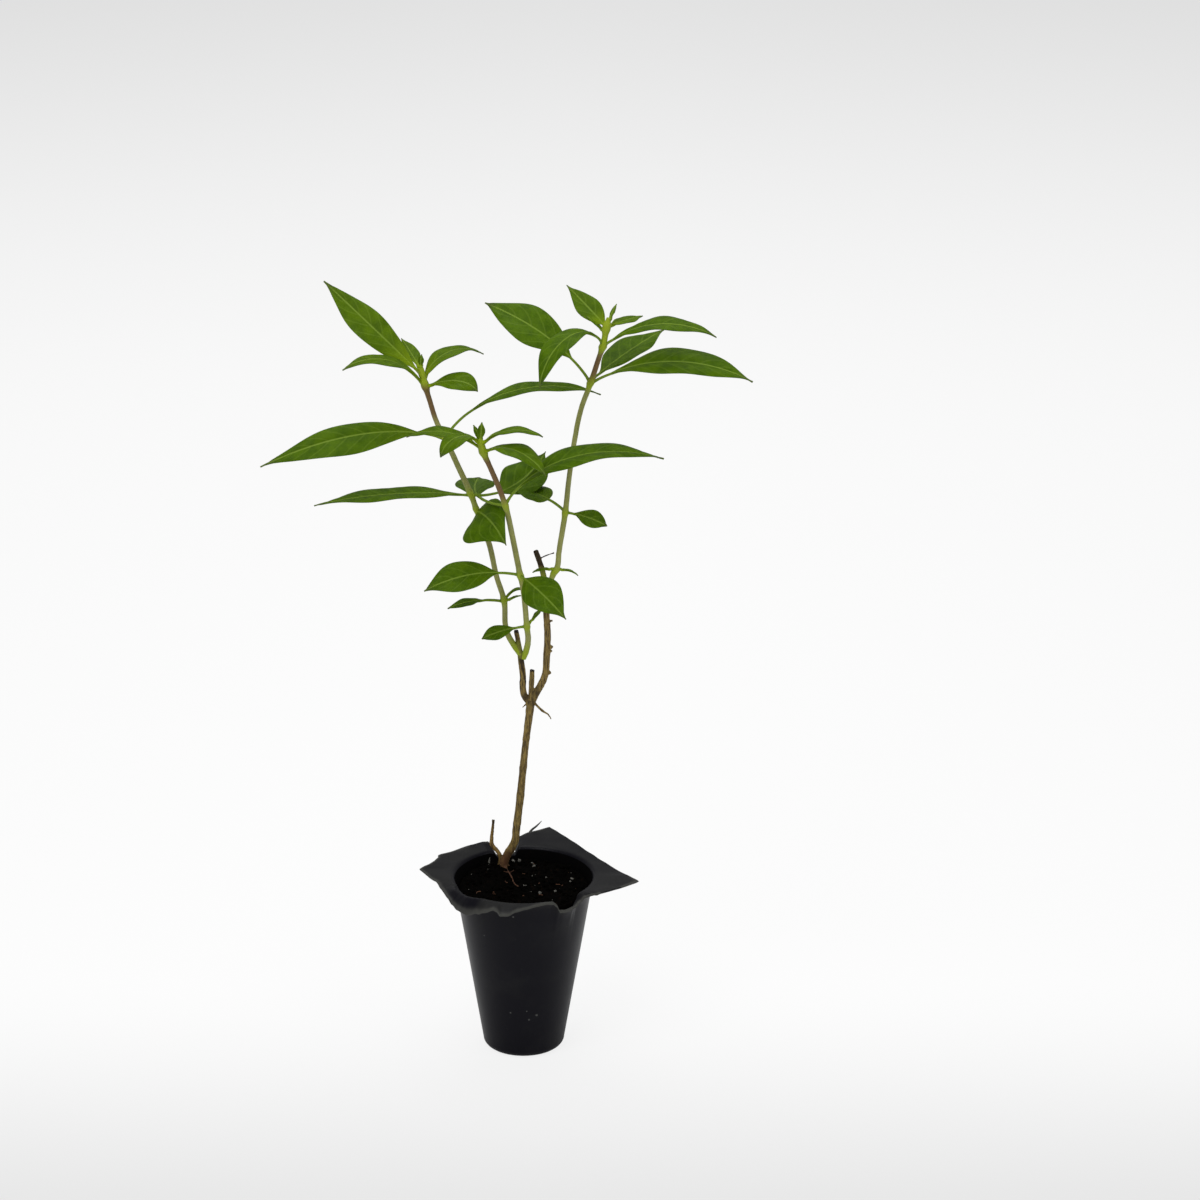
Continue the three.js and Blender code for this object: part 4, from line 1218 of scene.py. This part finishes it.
class CUPHEA_OT_leaves(bpy.types.Operator):
    """Build every grown leaf, each laid along its own midrib"""

    bl_idname = "cuphea.leaves"
    bl_label = "Leaves"

    def execute(self, context):
        settings = context.scene.cuphea_leaf
        grown_look = leaf_material("grown_leaf", settings, False)
        young_look = leaf_material("young_leaf", settings, True)
        under = underside_material("leaf_underside", settings)
        seed = 1
        for shoot, (_, leaves, _) in SHOOTS.items():
            for where, leaf in leaves.items():
                is_young = where.startswith("top")
                seed += 1
                shape = dict(leaf, youth=YOUNG_YOUTH if is_young else GROWN_YOUTH)
                piece = build_leaf(f"leaf_{shoot}_{where}", shape, settings.thickness, seed)
                wear(piece, young_look if is_young else grown_look, under)
                smooth(piece, 60)
                slot = "young_leaf" if is_young else "leaf"
                claim(piece, slot, f"{shoot}_shoot_leaf_{where}")
        return {"FINISHED"}


# Shoots


def spine_at(route, height):
    """The middle of a stem at a height, or its nearer end where the height is beyond it."""
    for low, high in zip(route, route[1:]):
        if low[2] <= height <= high[2]:
            share = (height - low[2]) / (high[2] - low[2])
            return Vector((low[0] + (high[0] - low[0]) * share, low[1] + (high[1] - low[1]) * share, height))
    return Vector(route[0][:3] if height < route[0][2] else route[-1][:3])


def swell_nodes(stem, route, heights):
    """Thicken a stem where its leaves stand."""
    for vertex in stem.data.vertices:
        height = vertex.co.z / MM
        centre = spine_at(route, height) * MM
        swell = sum(0.32 * math.exp(-((height - node) / 1.1) ** 2) for node in heights)
        uneven = 0.05 * noise.noise(vertex.co / MM * 0.9)
        out = Vector((vertex.co.x - centre.x, vertex.co.y - centre.y, 0))
        vertex.co += out * (swell + uneven)


class CUPHEA_OT_shoots(bpy.types.Operator):
    """Build the green shoots with their swollen nodes, leaflets and tip buds"""

    bl_idname = "cuphea.shoots"
    bl_label = "Shoots"

    def execute(self, context):
        settings = context.scene.cuphea_leaf
        stem_look = shoot_material(settings)
        leaf_look = leaf_material("leaflet", settings, True)
        under = underside_material("leaflet_underside", settings)
        for shoot, (route, leaves, leaflets) in SHOOTS.items():
            nodes = sorted({round(leaf["at"][2]) for leaf in [*leaves.values(), *leaflets]})
            stem = stem_tube(f"{shoot}_shoot_stem", route, 5, 10)
            swell_nodes(stem, route, nodes)
            low, high = BLUSH_HEIGHTS[shoot]
            foot = route[0][2]

            def blush(place, index):
                height = place.z / MM
                return 0.85 * ease(low - 3, low + 3, height) * ease(high + 2.5, high - 1, height)

            def node_tint(place, index):
                height = place.z / MM
                at_nodes = sum(math.exp(-((height - node) / 2.2) ** 2) for node in nodes)
                return min(1, at_nodes + ease(high - 1, high + 3, height) + ease(foot + 9, foot + 2, height))

            set_attribute(stem, "blush", blush)
            set_attribute(stem, "node_tint", node_tint)
            wear(stem, stem_look, leaf_look, under)
            parts = [stem]
            for number, leaflet in enumerate(leaflets):
                shape = dict(leaflet, youth=LEAFLET_YOUTH)
                part = build_leaf("leaflet", shape, settings.thickness, 90 + number, 6, 20)
                wear(part, stem_look, leaf_look, under)
                for polygon in part.data.polygons:
                    polygon.material_index = min(polygon.material_index + 1, 2)
                parts.append(part)
            piece = joined(parts, f"{shoot}_shoot_stem")
            smooth(piece, 60)
            claim(piece, "shoot", f"{shoot}_shoot")
        return {"FINISHED"}


# Stage


def floor_material():
    """A pale sheet that glows a little to the camera, brightest round the pot."""
    material, board, shader = new_material("studio_white", Roughness=0.9, Specular_IOR_Level=0.0)
    place = board.add("ShaderNodeSeparateXYZ")
    board.link(board.object_place(), place.inputs[0])
    seen = board.add("ShaderNodeLightPath").outputs["Is Camera Ray"]
    near = board.span(place.outputs["Y"], -0.2, 0.06, 0.64, 0.853)
    far = board.span(place.outputs["Y"], 0.7, 2.3, 0, 0.17)
    wide = board.times(board.math("ABSOLUTE", place.outputs["X"]), 0.05)
    glow = board.minus(board.minus(near, far), wide)
    mottle = board.times(board.noise(3, 2), 0.004)
    strength = board.times(board.plus(glow, mottle), seen)
    board.link(strength, shader.inputs["Emission Strength"])
    shader.inputs["Emission Color"].default_value = (1, 1, 1, 1)
    paper = board.mix(seen, (0.88, 0.88, 0.88, 1), (0.13, 0.13, 0.13, 1))
    board.link(paper, shader.inputs["Base Color"])
    return material


class CUPHEA_OT_stage(bpy.types.Operator):
    """Set the pale floor, the soft light and the camera"""

    bl_idname = "cuphea.stage"
    bl_label = "Stage"

    def execute(self, context):
        deselect_all()
        bpy.ops.mesh.primitive_plane_add(size=FLOOR_SIZE, location=(0, 0, 0))
        floor = bpy.context.object
        floor.name = "studio_floor"
        wear(floor, floor_material())

        world = bpy.data.worlds.new("studio_world")
        world.use_nodes = True
        sky = world.node_tree.nodes["Background"]
        sky.inputs["Color"].default_value = (1, 1, 1, 1)
        sky.inputs["Strength"].default_value = WORLD_STRENGTH
        context.scene.world = world

        for name, place, size, power in LAMPS:
            deselect_all()
            bpy.ops.object.light_add(type="AREA", location=place)
            lamp = bpy.context.object
            lamp.name = name
            lamp.data.shape = "DISK"
            lamp.data.size = size
            lamp.data.energy = power
            aim = Vector(LAMP_TARGET) - Vector(place)
            lamp.rotation_euler = aim.to_track_quat("-Z", "Y").to_euler()

        deselect_all()
        bpy.ops.object.camera_add(location=CAMERA_PLACE, rotation=(math.radians(CAMERA_TILT), 0, 0))
        camera = bpy.context.object
        camera.name = "studio_camera"
        camera.data.lens = CAMERA_LENS
        camera.data.sensor_width = 36
        context.scene.camera = camera
        context.scene.view_settings.view_transform = "Standard"
        return {"FINISHED"}


class CUPHEA_PT_panel(bpy.types.Panel):
    """Shows the settings, and the steps that build the plant and its pot"""

    bl_idname = "CUPHEA_PT_panel"
    bl_label = "Potted Cuphea"
    bl_space_type = "VIEW_3D"
    bl_region_type = "UI"
    bl_category = "Cuphea"

    def draw(self, context):
        for group_key in GROUPS:
            group = getattr(context.scene, group_key)
            for key in group.bl_rna.properties.keys():
                if key not in ("rna_type", "name"):
                    self.layout.prop(group, key)
        for step in STEPS:
            self.layout.operator(step.bl_idname)


STEPS = (CUPHEA_OT_stage, CUPHEA_OT_pot, CUPHEA_OT_soil, CUPHEA_OT_wood, CUPHEA_OT_shoots, CUPHEA_OT_leaves)
GROUPS = {
    "cuphea_pot": CupheaPotSettings,
    "cuphea_soil": CupheaSoilSettings,
    "cuphea_wood": CupheaWoodSettings,
    "cuphea_leaf": CupheaLeafSettings,
}


def register():
    """Make the steps, the settings and the panel known to Blender."""
    for kind in (*GROUPS.values(), *STEPS, CUPHEA_PT_panel):
        bpy.utils.register_class(kind)
    for key, kind in GROUPS.items():
        setattr(bpy.types.Scene, key, PointerProperty(type=kind))


def unregister():
    """Take the panel, the steps and the settings out again."""
    for key in GROUPS:
        delattr(bpy.types.Scene, key)
    for kind in reversed((*GROUPS.values(), *STEPS, CUPHEA_PT_panel)):
        bpy.utils.unregister_class(kind)


def main():
    """Register the add-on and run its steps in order."""
    register()
    bpy.ops.cuphea.stage()
    bpy.ops.cuphea.pot()
    bpy.ops.cuphea.soil()
    bpy.ops.cuphea.wood()
    bpy.ops.cuphea.shoots()
    bpy.ops.cuphea.leaves()
    deselect_all()


if __name__ == "__main__":
    main()
